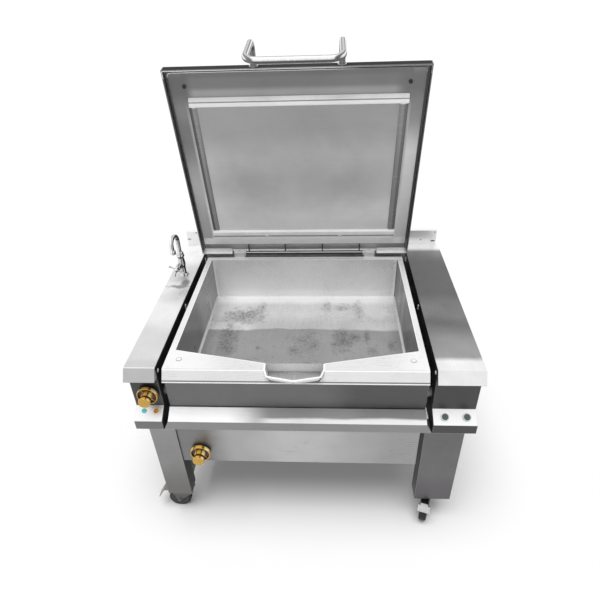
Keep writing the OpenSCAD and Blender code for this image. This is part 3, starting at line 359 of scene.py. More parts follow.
# Consoles: tone set by the way each face looks, painted light and shade, with a painted highlight on the
# sloped faces.
LEFT_CONSOLE = steel("left_console_steel", 72, [
    ([("ny", -0.8, -0.3, 0.08), SLOPED], 250),
    ([("ny", -2, -0.8, 0.08), ("z", 0, 592, 3)], 117),
    ([TO_LEFT], 138), ([TO_REAR], 150), ([TO_FLOOR], 96)])
RIGHT_CONSOLE = steel("right_console_steel", 75, [
    ([("ny", -0.8, -0.3, 0.08), SLOPED], 250),
    ([TO_RIGHT], 138), ([TO_REAR], 150), ([TO_FLOOR], 96)])
# Front beam: a painted highlight on its slope with painted reflections in bands across it, and painted
# shade on its front.
BEAM = steel("beam_steel", 120, [
    ([SLOPED], 255),
    ([SLOPED, ("x", -180, 600, 90, 20)], 142),
    ([SLOPED, ("x", 240, 600, 60, 20)], 128),
    ([SLOPED, ("x", -130, 600, 60, 20), ("z", 586, 599, 3, 2)], 236),
    ([("ny", -2, -0.8, 0.08)], 142)], metal=0.1)
# Front panel: painted reflections in bands across it, darker to the left.
PANEL = steel("front_panel_steel", 168, [
    ([("x", -600, -330, 60, 25)], 124), ([("x", 300, 600, 90, 30)], 158),
    ([("x", -120, 150, 90, 40)], 188)], cloud=0.08)
# Legs: painted shade, darker towards the floor, on the right-hand legs and on the sides.
LEG = steel("leg_steel_look", 138, [
    ([TO_FRONT, ("z", 0, 270, 90, 20)], (116, 114, 112)),
    ([TO_RIGHT], 50), ([TO_LEFT], 80),
    ([TO_FRONT, ("x", 0, 900, 20)], 106),
    ([TO_FRONT, ("x", 0, 900, 20), ("z", 0, 240, 60, 20)], (98, 95, 98))],
    grain="z", cloud=0.14)
RAIL = steel("rail_steel_look", 120, grain="y")
# Pan rim and nosing: painted reflections on the top and front, a painted highlight and a painted shade
# line along the front fold, and painted reflections on the rims beside the cavity.
VESSEL = steel("vessel_steel_look", 150, [
    (ON_TOP + [("z", 780, 900, 5)], 236),
    ([("ny", -2, -0.3, 0.1), ("z", 760, 900, 5), ("y", -60, 20, 5)], 222),
    ([("ny", -2, -0.3, 0.1), ("y", -60, 4, 1), ("z", 814, 817.5, 1)], 255),
    ([("ny", -2, -0.3, 0.1), ("y", -60, 4, 1), ("z", 780, 784, 1.2)], 112),
    ([("ny", -2, -0.3, 0.1), ("y", -60, 4, 1), ("z", 700, 779, 1)], 250),
    (ON_TOP + [("z", 780, 900, 5), ("x", -600, -420, 8, 4), ("y", 130, 900, 60)], 228),
    (ON_TOP + [("z", 780, 900, 5), ("x", 470, 600, 3, 2), ("y", 100, 900, 60)], 226)],
    rough=0.3, metal=0.25)

# Burnt-on stains of the pan's floor: place, half width, half depth and tone
STAINS = [(-284, 639, 50, 34, 104), (-366, 633, 22, 28, 140), (-347, 483, 27, 44, 96),
          (-338, 388, 22, 34, 96), (-373, 419, 11, 56, 104), (181, 444, 27, 44, 72),
          (241, 464, 21, 16, 84), (301, 472, 9, 24, 90), (326, 369, 15, 18, 104),
          (411, 405, 11, 22, 98), (59, 410, 14, 18, 96), (18, 443, 44, 46, 116),
          (196, 709, 26, 16, 150), (271, 690, 18, 44, 150), (113, 721, 14, 24, 154),
          (-199, 390, 6, 9, 84), (-218, 695, 20, 28, 154), (-31, 371, 16, 17, 100),
          (23, 257, 17, 20, 96)]
LEFT_WALL, RIGHT_WALL = [TO_RIGHT, ("z", 600, 900, 5)], [TO_LEFT]

# The inside of the pan: painted reflections and shade on its floor and walls, painted highlights along
# its joints, and a soft band of painted light on its floor.
CAVITY_LAYERS = [
    (ON_TOP, 196),
    (ON_TOP + [("y", -50, 527, 6, 14)], 156),
    (ON_TOP + [("y", 527, 590, 12, 14), ("x", -600, -240, 50)], 222),
    (ON_TOP + [("y", 527, 582, 12, 14), ("x", 250, 600, 40)], 210),
    (ON_TOP + [("y", 610, 760, 60)], 224),
    (ON_TOP + [("y", 745, 900, 26)], 250),
    ([("ny", 0.8, 2, 0.1)], 196),
    (LEFT_WALL, 166), (LEFT_WALL + [("y", 0, 480, 60, 12)], 134),
    (LEFT_WALL + [("y", 660, 676, 10), ("z", 598, 680, 20)], 206),
    (LEFT_WALL + [("y", 500, 575, 16)], 166),
    (RIGHT_WALL, 130), (RIGHT_WALL + [("y", 0, 500, 60, 12)], 104),
    (RIGHT_WALL + [("y", 655, 672, 8)], 186), (RIGHT_WALL + [("y", 515, 560, 10)], 160),
    ([TO_FRONT], 250),
    ([TO_FRONT, ("z", 600, 640, 20)], 255),
    ([("x", -600, -456, 1.5), ("z", 590, 604, 1)], 226),
    ([("x", 456, 600, 1.5), ("z", 590, 604, 1)], 226),
    ([("y", 797, 900, 1.5), ("z", 590, 604, 1)], 255)]


def stained(name, layers):
    """Sheet with burnt-on stains: soft shades with small dark pits in them."""
    g = Graph(name)
    clouds = g.noise(4.5, 4, rough=0.6, seed=3.1)
    fine = g.noise(9, 3, stretch=(44, 1, 8), rough=0.7, seed=1.3)
    pits = g.noise(70, 3, rough=0.6, seed=5.2)
    dots = g.ranged(pits, 0.44, 0.64, 0, 0.8)
    value = g.layered(150, layers)
    for x, y, rx, ry, tone in STAINS:
        blob = ("blob", (x, y, FLOOR_Z), (rx * 1.15, ry * 1.25, 60), 1.2, 0.6, 30)
        value = g.mix(g.product(g.mask(ON_TOP + [blob]), 0.6), value, colour(tone + 26))
        value = g.mix(g.product(g.mask(ON_TOP + [blob]), dots), value, colour(tone))
    spread = g.product(g.ranged(pits, 0.64, 0.7, 0, 0.75), g.mask(ON_TOP + [("y", 120, 700, 60)]))
    value = g.mix(spread, value, colour(112))
    value = g.lit(value, clouds, 0.9, 1.1)
    value = g.lit(value, fine, 0.9, 1.08)
    g.put(g.out.inputs["Base Color"], value)
    g.out.inputs["Metallic"].default_value = 0.2
    g.put(g.out.inputs["Roughness"], g.ranged(clouds, 0.35, 0.65, 0.26, 0.4, False))
    g.bump(g.sum(fine, g.product(pits, 0.5)), 0.12, 0.0004)
    return g.material


CAVITY = stained("cavity_steel", CAVITY_LAYERS)
# Studs: a painted highlight on their flat tops.
STUD = steel("stud_steel", 150, [([("nz", 0.94, 2, 0.03)], 250)], rough=0.25, edge=0, metal=0.2)
# White steel for the rolled edges, bolts, screw heads and the closing sheet: a painted highlight all
# over them.
BRIGHT = steel("bright_edge", 255, rough=0.22, edge=0, cloud=0.02, metal=0.0)
# Lid edges: a painted highlight along the front, painted shade along the sides and at the right of the
# front.
LID_EDGE = steel("lid_edge_steel", 205, [
    ([("s", 860, 900, 3)], 252), ([("s", 860, 900, 3), ("x", 200, 600, 90)], 150),
    ([("s", -50, 856, 3), ("x", -600, -480, 4)], 110), ([("s", -50, 856, 3), ("x", 480, 600, 4)], 96)],
    rough=0.25, edge=0, metal=0.1)
# Drip rails: painted highlights on their front faces, painted shade lines in their folds and painted
# shade on the side rails.
RAILS = steel("drip_rail_steel", 150, [
    ([("s", 40, 136, 2)], 255), ([("s", 102, 109, 1.5)], 160), ([("s", 736, 759, 1)], 255),
    ([("s", 759, 763, 1)], 150), ([("s", 763, 790, 1)], 244),
    ([("s", 136, 738, 2), ("x", -600, -424, 3)], 92),
    ([("s", 136, 738, 2), ("x", 424, 600, 3)], 116)], rough=0.25, streak=0.01, edge=0,
    metal=0.1)
# Pan casing: painted light and shade, lighter at the rear, darker below and on the right.
CASING = steel("casing_steel", 110, [
    ([TO_REAR], 140), ([TO_FLOOR], 90), ([("x", 150, 600, 90, 30)], 88)], cloud=0.1)
# Lid skin: tone set by the way each face looks, painted light and shade, with a painted highlight on top
# of the rear edge and painted shade on top of the front edge and on the sides.
LID_OUT = steel("lid_skin_steel", 150, [
    ([("nt", 0.6, 2, 0.1)], 196),
    ([("nt", -2, -0.6, 0.1), ("s", -40, 60, 5)], 200),
    ([("nz", 0.8, 2, 0.1), ("s", -40, 14, 3)], 255), ([("nz", 0.8, 2, 0.1), ("s", 870, 900, 3)], 58),
    ([("nz", 0.8, 2, 0.1), ("s", 870, 900, 3), ("x", -200, 600, 60)], 84),
    ([("nx", 0.6, 2, 0.1)], 96), ([("nx", -2, -0.6, 0.1)], 70)], rough=0.3, edge=0,
    metal=0.15)
# Lid lining: painted reflections in bands from its rear to its front, lighter near the hinge and darker
# towards the front and at its sides.
LID_IN = steel("lid_lining_steel", 203, [
    ([("s", -50, 300, 120, 30)], 244), ([("s", -50, 110, 30, 10)], 250),
    ([("s", 560, 900, 90, 30)], 174),
    ([("s", 772, 900, 5)], 132), ([("s", 776, 806, 12)], 168), ([("s", 852, 900, 9)], 122),
    ([("x", -600, -446, 5)], 190), ([("x", -600, -446, 5), ("s", 480, 760, 120)], 128),
    ([("x", -600, -420, 20), ("s", 740, 900, 60)], 112),
    ([("x", 446, 600, 5)], 232), ([("x", 446, 600, 5), ("s", 600, 800, 90)], 150),
    ([("x", 400, 600, 30), ("s", 740, 900, 60)], 122),
    ([("s", -50, 84, 4)], 255)],
    rough=0.36, cloud=0.08, metal=0.2)
# Lid frame: painted reflections, lighter on the rear bar and darker on the side bars.
LID_BARS = steel("lid_frame_steel", 186, [
    ([("s", 40, 118, 3)], 216), ([("s", 125, 725, 4), ("x", -600, -300, 10)], 150),
    ([("s", 125, 725, 4), ("x", 300, 600, 10)], 172)], rough=0.28, edge_tone=246)
# Handle: painted reflections of its polished tube, dark below and light on top, in streaks by the way it
# faces.
HANDLE = shiny("handle_steel_look", 250, [
    ([("nz", -2, -0.05, 0.16)], 116), ([("nz", -0.55, -0.3, 0.05)], 70),
    ([("nz", 0.84, 2, 0.06)], 176), ([("nx", 0.3, 0.62, 0.08)], 96), ([("nx", -0.66, -0.3, 0.08)], 112),
    ([("nx", 0.86, 2, 0.04)], 120), ([("nx", -2, -0.86, 0.04)], 96)], rough=0.2, metal=0.15)
# Hinge tube: dark, with a painted highlight along its top and painted reflections on its ends.
HINGE_TUBE = steel("hinge_tube_steel", 40, [
    ([("nz", 0.5, 0.78, 0.06), ("nx", -0.3, 0.3, 0.1)], 255), ([TO_RIGHT], 190),
    ([TO_LEFT], 190)], rough=0.25, edge=0, metal=0.1)
# Hinge blocks, rings and screws: painted shade on the faces that look to the front.
HINGE = steel("hinge_steel", 250, [([TO_FRONT], 222)], rough=0.25, metal=0.2)
# Spout: painted highlights on its lip and along its middle crease.
SPOUT = steel("spout_steel_look", 176, [([("y", -90, -26, 3)], 236), ([("x", -3, 3, 2)], 190)],
              rough=0.28, grain="y", edge_tone=252, edge=0.6, metal=0.2)
# Dark steel for the lid's front face: painted shade.
SHADED = coated("shaded_steel_look", 50, 0.8, bump=0.05, edge_tone=60, mottle=0.3, shine=0.1)
HIDDEN = steel("bare_steel_look", 130, rough=0.45)
# Chrome of the tap and buttons: painted reflections, dark at the sides and below, light on top.
CHROME = shiny("chrome", 252, [
    ([("nx", -2, -0.76, 0.05)], 40), ([("nx", 0.7, 2, 0.05)], 34), ([("nx", 0.2, 0.42, 0.05)], 70),
    ([("nz", -0.5, -0.1, 0.05)], 56), ([("nz", -2, -0.7, 0.06)], 30),
    ([("nz", 0.86, 2, 0.05)], 190)], rough=0.1, metal=0.2)
# Gold of the knobs: painted reflections, a painted highlight on the upper faces and painted shade below
# and in streaks.
GOLD = shiny("gold", (222, 176, 72), [
    ([("nz", 0.35, 0.8, 0.12)], (255, 238, 176)), ([("nz", -2, -0.35, 0.15)], (96, 58, 18)),
    ([("nx", 0.28, 0.5, 0.06)], (120, 78, 24)), ([("nx", -0.62, -0.4, 0.06)], (140, 96, 32)),
    ([("ny", -2, -0.8, 0.08)], (214, 166, 64))], rough=0.14)
GOLD_CAP = shiny("gold_cap", (205, 160, 58), rough=0.3, metal=0.1)
# Dark brown for the knobs' recess and neck: painted shade.
GOLD_DARK = shiny("gold_recess", (74, 38, 24), rough=0.3)
BLACK = coated("black_paint_look", 30, 0.6, edge_tone=44)
BLACK_PLASTIC = coated("black_plastic_look", 20, 0.35, edge_tone=48)
CAP = coated("button_plastic_look", (74, 84, 88), 0.35, edge_tone=(120, 130, 134))
RUBBER = coated("tyre_rubber", 24, 0.62, grit=600, bump=0.35, edge_tone=44)
HUB = coated("hub_plastic", 62, 0.5, edge_tone=96)
BUFFER = coated("buffer_rubber_look", 40, 0.7, edge_tone=60)
# Castor forks: a painted highlight on their upward faces.
ZINC = steel("castor_steel", 96, [([("nz", 0.7, 2, 0.1)], 128)], rough=0.4, grain="y",
             edge_tone=170, metal=0.3)
# Pedals: the left one darker, painted shade.
PEDAL = steel("pedal_steel", 196, [([("x", -900, 0, 5)], 128)], rough=0.4, cloud=0.15,
              edge_tone=226, metal=0.2)
MOTOR = coated("motor_paint_look", (96, 108, 118), 0.5)
BOX = coated("box_paint_look", 150, 0.5)
COPPER = steel("copper_look", (184, 115, 84), rough=0.3, edge=0)
ELEMENT = steel("element_look", 74, rough=0.5, edge=0)
WOOL = fibrous("wool_look", (206, 192, 140))
CYAN = lens("cyan_look", (84, 206, 222))
AMBER = lens("amber_look", (236, 160, 44))

# Which nodes of the solids wear which material
LOOKS = {
    LEFT_TOP: ["left_worktop"], RIGHT_TOP: ["right_worktop"], UPSTAND: ["rear_upstand"],
    LEFT_CONSOLE: ["left_console"], RIGHT_CONSOLE: ["right_console"], BEAM: ["front_beam"],
    PANEL: ["front_panel"],
    LEG: ["front_left_leg", "front_right_leg", "rear_left_leg", "rear_right_leg"],
    RAIL: ["left_side_rail", "right_side_rail", "rear_cross_rail"],
    BLACK: ["left_cheek", "right_cheek"], VESSEL: ["vessel"], SPOUT: ["pour_spout"],
    CASING: ["pan_casing"], LID_OUT: ["lid_skin"], LID_IN: ["lid_lining"],
    LID_BARS: ["lid_frame"], HANDLE: ["lid_handle"], HINGE_TUBE: ["lid_hinge_tube"],
    HINGE: ["hinge_bracket", "cheek_screws"], BUFFER: ["lid_buffers"],
    HIDDEN: ["bearings", "tilt_worm", "tilt_cradle", "trunnions", "base_plate"],
    MOTOR: ["tilt_gearmotor"], BOX: ["control_box"], COPPER: ["water_pipe"],
    ELEMENT: ["heating_elements"], WOOL: ["insulation"], CYAN: ["cyan_lamp"],
    AMBER: ["amber_lamp"], BLACK_PLASTIC: ["thermostat", "selector_switch", "supply_gland"],
    CHROME: ["button_housings", "tap_body", "tap_spout", "tap_handle"],
    GOLD: ["thermostat_knob", "selector_knob"], CAP: ["raise_button", "lower_button"],
    RUBBER: ["front_left_wheel", "front_right_wheel", "rear_left_wheel", "rear_right_wheel"],
    ZINC: ["front_left_fork", "front_right_fork", "rear_left_fork", "rear_right_fork"],
    PEDAL: ["front_left_pedal", "front_right_pedal"]}


def dress():
    """Each node of the solids gets its material."""
    for look, names in LOOKS.items():
        for name in names:
            node = frame["nodes"][name]
            if not node.material_slots:
                node.data.materials.append(look)
            for place in node.material_slots:
                place.material = look


# Shapes

class Shape:
    """Points in mm and faces, each with the number of its material."""

    def __init__(self, points=(), faces=(), look=0):
        self.points = [Vector(p) for p in points]
        self.faces = [tuple(f) for f in faces]
        self.looks = [look] * len(self.faces)

    def join(self, other):
        """Adds another shape to this one."""
        start = len(self.points)
        self.points += other.points
        self.faces += [tuple(i + start for i in f) for f in other.faces]
        self.looks += other.looks

    def moved(self, matrix):
        """Moves this shape and gives it back."""
        self.points = [matrix @ p for p in self.points]
        return self


def joined(shapes):
    """One shape of many."""
    whole = Shape()
    for shape in shapes:
        whole.join(shape)
    return whole


def lathe(profile, steps=48, looks=None):
    """A turned shape about z from (radius, height) pairs. looks numbers each stretch's material."""
    points, faces, numbers = [], [], []
    for r, z in profile:
        for i in range(steps):
            a = 2 * math.pi * i / steps
            points.append((r * math.cos(a), r * math.sin(a), z))
    for k in range(len(profile) - 1):
        for i in range(steps):
            j = (i + 1) % steps
            faces.append((k * steps + i, k * steps + j, (k + 1) * steps + j, (k + 1) * steps + i))
            numbers.append(looks[k] if looks else 0)
    shape = Shape(points, faces)
    shape.looks = numbers
    return shape


def tube(path, radius, steps=20):
    """A round bar along a path. radius is one length, or one for each point."""
    path = [Vector(p) for p in path]
    radii = radius if isinstance(radius, (list, tuple)) else [radius] * len(path)
    points, faces = [], []
    ahead = (path[1] - path[0]).normalized()
    side = ahead.orthogonal().normalized()
    for i, p in enumerate(path):
        before = (p - path[i - 1]).normalized() if i else ahead
        after = (path[i + 1] - p).normalized() if i < len(path) - 1 else before
        ahead = (before + after).normalized()
        side = (side - ahead * side.dot(ahead)).normalized()
        up = ahead.cross(side)
        for k in range(steps):
            a = 2 * math.pi * k / steps
            points.append(p + radii[i] * (side * math.cos(a) + up * math.sin(a)))
    for i in range(len(path) - 1):
        for k in range(steps):
            m = (k + 1) % steps
            faces.append((i * steps + k, i * steps + m, (i + 1) * steps + m, (i + 1) * steps + k))
    faces.append(tuple(range(steps - 1, -1, -1)))
    faces.append(tuple((len(path) - 1) * steps + k for k in range(steps)))
    return Shape(points, faces)


def slab(low, high, bevel=0.6, look=0):
    """A block with rounded edges."""
    low, high = Vector(low), Vector(high)
    bm = bmesh.new()
    bmesh.ops.create_cube(bm, size=1)
    size, middle = high - low, (high + low) / 2
    for v in bm.verts:
        v.co = Vector(v.co[i] * size[i] + middle[i] for i in range(3))
    bmesh.ops.bevel(bm, geom=bm.edges[:], offset=bevel, segments=2, profile=0.5,
                    affect="EDGES", clamp_overlap=True)
    bm.verts.index_update()
    shape = Shape([v.co for v in bm.verts], [[v.index for v in f.verts] for f in bm.faces], look)
    bm.free()
    return shape


def piece(name, shape, body, looks, stands_for=(), sharp=35):
    """One object of the scene from a shape in mm, on its body."""
    mesh = bpy.data.meshes.new(name)
    mesh.from_pydata([at(*p) for p in shape.points], [], shape.faces)
    for look in looks:
        mesh.materials.append(look)
    mesh.polygons.foreach_set("material_index", shape.looks)
    bm = bmesh.new()
    bm.from_mesh(mesh)
    bmesh.ops.remove_doubles(bm, verts=bm.verts, dist=1e-6)
    bmesh.ops.recalc_face_normals(bm, faces=bm.faces)
    bm.to_mesh(mesh)
    bm.free()
    mesh.shade_smooth()
    mesh.set_sharp_from_angle(angle=math.radians(sharp))
    thing = bpy.data.objects.new(name, mesh)
    bpy.context.scene.collection.objects.link(thing)
    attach(thing, body)
    if stands_for:
        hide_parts(*stands_for)
    return thing


def spot(x, y, z):
    """A move to a place in mm."""
    return Matrix.Translation((x, y, z))


def corner_arc(a, b, c, r, steps=5):
    """The rounded corner of radius r at b, on the way from a to c."""
    u, v = (a - b).normalized(), (c - b).normalized()
    half = u.angle(v) / 2
    if half > math.radians(88):
        return [b] * (steps + 1)
    reach = min(r / math.tan(half), (a - b).length * 0.49, (c - b).length * 0.49)
    middle = b + (u + v).normalized() * (reach / math.cos(half))
    first, last = b + u * reach - middle, b + v * reach - middle
    whole = first.angle(last)
    return [middle + (first * math.sin((1 - k / steps) * whole) + last * math.sin(k / steps * whole))
            / math.sin(whole) for k in range(steps + 1)]


def eased(path, r, steps=5, closed=False):
    """A path with its corners rounded."""
    path = [Vector(p) for p in path]
    n = len(path)
    if closed:
        return [q for i in range(n)
                for q in corner_arc(path[i - 1], path[i], path[(i + 1) % n], r, steps)]
    middle = [q for i in range(1, n - 1)
              for q in corner_arc(path[i - 1], path[i], path[i + 1], r, steps)]
    return [path[0]] + middle + [path[-1]]


def left_of(v):
    """A way turned left by 90 degrees."""
    return Vector((-v[1], v[0]))


def bisect(n1, n2):
    """The way along which a corner between two sides moves with them."""
    return (n1 + n2) / (1 + n1.dot(n2))


def folded(path, t):
    """The outline of a sheet of thickness t to the left of a path."""
    path = [Vector((p[0], p[1])) for p in path]
    ways = [left_of((b - a).normalized()) for a, b in zip(path, path[1:])]
    turns = [ways[0]] + [bisect(a, b) for a, b in zip(ways, ways[1:])] + [ways[-1]]
    return path + [p + t * n for p, n in reversed(list(zip(path, turns)))]


def inset(outline, d):
    """A closed outline, drawn anticlockwise, moved inward by d."""
    n = len(outline)
    points = [Vector(p) for p in outline]
    ways = [left_of((points[(i + 1) % n] - points[i]).normalized()) for i in range(n)]
    return [points[i] + d * bisect(ways[i - 1], ways[i]) for i in range(n)]


def prism(outline, a, b, place):
    """An outline drawn out from a to b. place turns (distance, point) into a place in mm."""
    n = len(outline)
    points = [place(a, q) for q in outline] + [place(b, q) for q in outline]
    faces = [(i, (i + 1) % n, n + (i + 1) % n, n + i) for i in range(n)]
    return Shape(points, faces + [tuple(range(n - 1, -1, -1)), tuple(range(n, 2 * n))])


def on_lid(x, q):
    """For prism(): an outline of lid heights, drawn out across the lid."""
    return lid_at(x, q[0], q[1])


def turn(degrees, axis):
    """A turn about an axis."""
    return Matrix.Rotation(math.radians(degrees), 4, axis)


def at_valve():
    """Along the tap's valve branch."""
    return spot(TAP[0], TAP[1], TAP[2] + VALVE_UP) @ turn(-6, "Z") @ turn(90, "X")


def dome(r, h, steps=20):
    """A round head, flat below."""
    arc = [(r * math.cos(k * math.pi / 12), h * math.sin(k * math.pi / 12)) for k in range(6)]
    return lathe([(r, -0.5)] + arc + [(0.01, h)], steps)


# Knobs

KNOB_D, CAP_D, KNOB_L, SKIRT_L, BEZEL_T, FIN_T = 80, 46, 50.6, 15, 8.4, 2.4
KNOBS = {"thermostat": (-567, 3, 692), "selector": (-392, -44, 418)}


def knob(name, place):
    """A gold knob: ring, recess with four fins, waisted hub and matt cap, with painted shade in the
    recess and round the neck.
    """
    x, y, z = place
    r, c = KNOB_D / 2, CAP_D / 2
    profile = [(4.1, 0), (r - 4, 0), (r - 1.2, 0.8), (r, 2.4), (r, SKIRT_L - 1.6),
               (r - 0.8, SKIRT_L - 0.4), (r - 2, SKIRT_L), (r - 3.6, SKIRT_L - 0.8),
               (r - 4.6, 8.5), (r - 6, 7), (c + 1, 7), (c - 1, 8.5), (c - 1.4, 20),
               (c - 2.6, 27), (c - 3.6, 31), (c - 2.8, KNOB_L - 14), (c - 0.6, KNOB_L - 12),
               (c, KNOB_L - 9), (c, KNOB_L - 2), (c - 0.8, KNOB_L - 0.4), (c - 2.4, KNOB_L),
               (0.01, KNOB_L)]
    # The recess and neck faces take GOLD_DARK: painted shade.
    recess, neck, cap = range(7, 11), range(13, 15), range(18, len(profile))
    looks = [1 if k in recess or k in neck else 2 if k in cap else 0
             for k in range(len(profile) - 1)]
    shapes = [lathe(profile, 72, looks)]
    for degrees in (0, 90, 180, 270):
        fin = slab((c - 4, -FIN_T / 2, 6.6), (r - 3.4, FIN_T / 2, 10), 0.4)
        shapes.append(fin.moved(turn(degrees + 40, "Z")))
    shape = joined(shapes).moved(spot(x, y - BEZEL_T, z) @ turn(90, "X"))
    node = name + "_knob"
    piece("knob_" + name, shape, node, [GOLD, GOLD_DARK, GOLD_CAP], (node,))


# Castors: where each one turns, and how far it has turned

CASTORS = {"front_left": (-509, -6, -90), "front_right": (554, -6, -17),
           "rear_left": (-526, 924, 24), "rear_right": (542, 924, -38)}


def castor_at(name):
    """From a castor's own coordinates to its place."""
    x, y, degrees = CASTORS[name]
    return spot(x, y, 0) @ turn(degrees, "Z")


def wheel(name):
    """A tyre with a ridge, on a ribbed hub."""
    r, w = WHEEL_D / 2, WHEEL_W / 2
    half = [(4.05, w), (9, w), (11.5, w - 0.8), (12.5, w - 2.5), (14, w - 5.5), (30, w - 5.5),
            (32, w - 4), (35, w - 1.6), (37.5, w - 1.4), (38, w - 1.2), (39, w - 0.2), (43, w),
            (46.5, w - 0.8), (48.6, w - 3), (49.7, w - 7), (r, w - 12), (r, 0)]
    profile = half + [(a, -b) for a, b in reversed(half[:-1])]
    n = len(profile) - 1
    hub = 9
    looks = [0 if hub <= k < n - hub else 1 for k in range(n)]
    shapes = [lathe(profile, 64, looks)]
    for k in range(8):
        for s in (-1, 1):
            rib = slab((12, -1.3, s * (w - 6.5) - 1), (32, 1.3, s * (w - 3.6)), 0.4, 1)
            shapes.append(rib.moved(turn(45 * k, "Z")))
    for s in (-1, 1):
        shapes.append(lathe([(40, s * w), (40.4, s * (w + 0.35)), (41.2, s * w)], 64))
    shape = joined(shapes).moved(castor_at(name) @ spot(0, -TRAIL, r) @ turn(90, "Y"))
    piece(name + "_tyre", shape, name + "_wheel", [RUBBER, HUB], (name + "_wheel",))


def castor_trim(name):
    """Bearing ring, axle nuts and the rivets of one castor's fork."""
    shapes = []
    ring = [(20, 112), (29.5, 112), (30.5, 113.5), (30.5, 117), (29, 118.5), (26, 119.5),
            (26, 121), (30, 121.5), (31, 123.5), (31, 126.5), (30, 127.7), (20, 127.7)]
    shapes.append(lathe(ring, 48))
    for s in (-1, 1):
        nut = lathe([(7.5, 0), (7.5, 5.5), (6.6, 6.4), (3.6, 6.4), (3.6, 8.2), (0.01, 8.6)], 6)
        shapes.append(nut.moved(spot(s * 20.5, -TRAIL, WHEEL_D / 2) @ turn(90 * s, "Y")))
    for k in range(4):
        shapes.append(dome(3, 2).moved(turn(90 * k + 45, "Z") @ spot(24, 0, 107.9) @ turn(180, "X")))
    shape = joined(shapes).moved(castor_at(name))
    piece(name + "_fork_trim", shape, name + "_fork", [ZINC])


# Tap

NECK_R, NECK_UP, NECK_TURN, COLUMN_H, SPOKE_TURN = 32, 73, -9, 112, 65


def tap():
    """The column with its valve branch, the gooseneck and the cross handle."""
    x, y, z = TAP
    column = [(22, 0), (22, 2.5), (21, 4.5), (18, 6.5), (15.6, 9), (14.4, 13), (14.1, 22), (14.4, 44),
              (16, 52), (16.8, 60), (16.8, 68), (16, 76), (14.4, 84), (14.2, 94), (15, 97),
              (17.4, 99.5), (18, 102), (18, 108), (17.2, 110.6), (15.4, COLUMN_H), (9.6, COLUMN_H)]
    shapes = [lathe(column, 48).moved(spot(x, y, z))]
    shapes.append(tube([(x, y, z - 60), (x, y, z + 1)], 11))
    branch = [(9.2, 0), (9.2, 24), (10.6, 26), (11.6, 29), (11.6, 36), (12, 37.5), (12, 54),
              (11, 56.5), (8, 58.5), (4.2, 59.6), (4.2, 72)]
    shapes.append(lathe(branch, 40).moved(at_valve()))
    piece("tap_column", joined(shapes), "frame", [CHROME], ("tap_body",))

    neck = [(0, 0, 12 * k - 11) for k in range(8)]
    for k in range(25):
        a = math.pi * k / 24
        neck.append((0, NECK_R * (math.cos(a) - 1), NECK_UP + NECK_R * math.sin(a)))
    neck += [(0, -2 * NECK_R, h) for h in (65, 55, 46)]
    nozzle = [(4.75, -10), (12.4, -10), (13.5, -8.6), (13.5, 5), (12.6, 7), (10.6, 9), (9.5, 10)]
    nut = [(9.6, 0.5), (14, 0.5), (15, 1.8), (15, 8), (13.6, 10), (11, 12), (9.6, 14)]
    shapes = [tube(neck, 9.4, 28), lathe(nozzle, 40).moved(spot(0, -2 * NECK_R, 43)), lathe(nut, 36)]
    shape = joined(shapes).moved(spot(x, y, z + COLUMN_H) @ turn(NECK_TURN, "Z"))
    piece("tap_gooseneck", shape, "tap_spout", [CHROME], ("tap_spout",))

    hub = [(4.1, 0), (8.5, 0), (10, 1.6), (10, 9), (9, 11), (6, 13.2), (0.01, 14)]
    shapes = [lathe(hub, 32)]
    ball = [(4.7 * math.sin(a), 36 - 4.7 * math.cos(a))
            for a in [math.pi * i / 12 for i in range(13)]]
    for k in range(4):
        outward = turn(SPOKE_TURN + 90 * k, "Z") @ spot(0, 0, 7) @ turn(90, "Y")
        spoke = [(0, 0, r) for r in (6, 12, 20, 27, 31)]
        shapes.append(tube(spoke, [4.6, 3.9, 3.2, 3.1, 3.6], 16).moved(outward))
        shapes.append(lathe(ball, 20).moved(outward))
    shape = joined(shapes).moved(at_valve() @ spot(0, 0, 60.4))
    piece("tap_cross", shape, "tap_handle", [CHROME], ("tap_handle",))


# Pan: formed sheet of the cavity, rolled edges and the spout

CAV_X, CAV_Y0, CAV_Y1, SPOUT_X, ROOT_Y, ROOT_Z = 467, 105, 808, 111, 32, 780
OUTLINE = [(-CAV_X, CAV_Y0), (-SPOUT_X, ROOT_Y), (SPOUT_X, ROOT_Y), (CAV_X, CAV_Y0),
           (CAV_X, CAV_Y1), (-CAV_X, CAV_Y1)]
LINER_GAP, COVE_R, CORNER_R = 0.6, 11, 16
STUD_X, STUD_Y = 439, 52


def cavity_ring(d, z, low_z):
    """One level of the cavity: lower where it runs into the spout."""
    rounded = eased([(*q, 0) for q in inset(OUTLINE, LINER_GAP + d)], max(CORNER_R - d, 3), 6, True)
    return [(q[0], q[1], low_z if abs(q[0]) < SPOUT_X - 2 and q[1] < CAV_Y0 - 40 else z)
            for q in rounded]


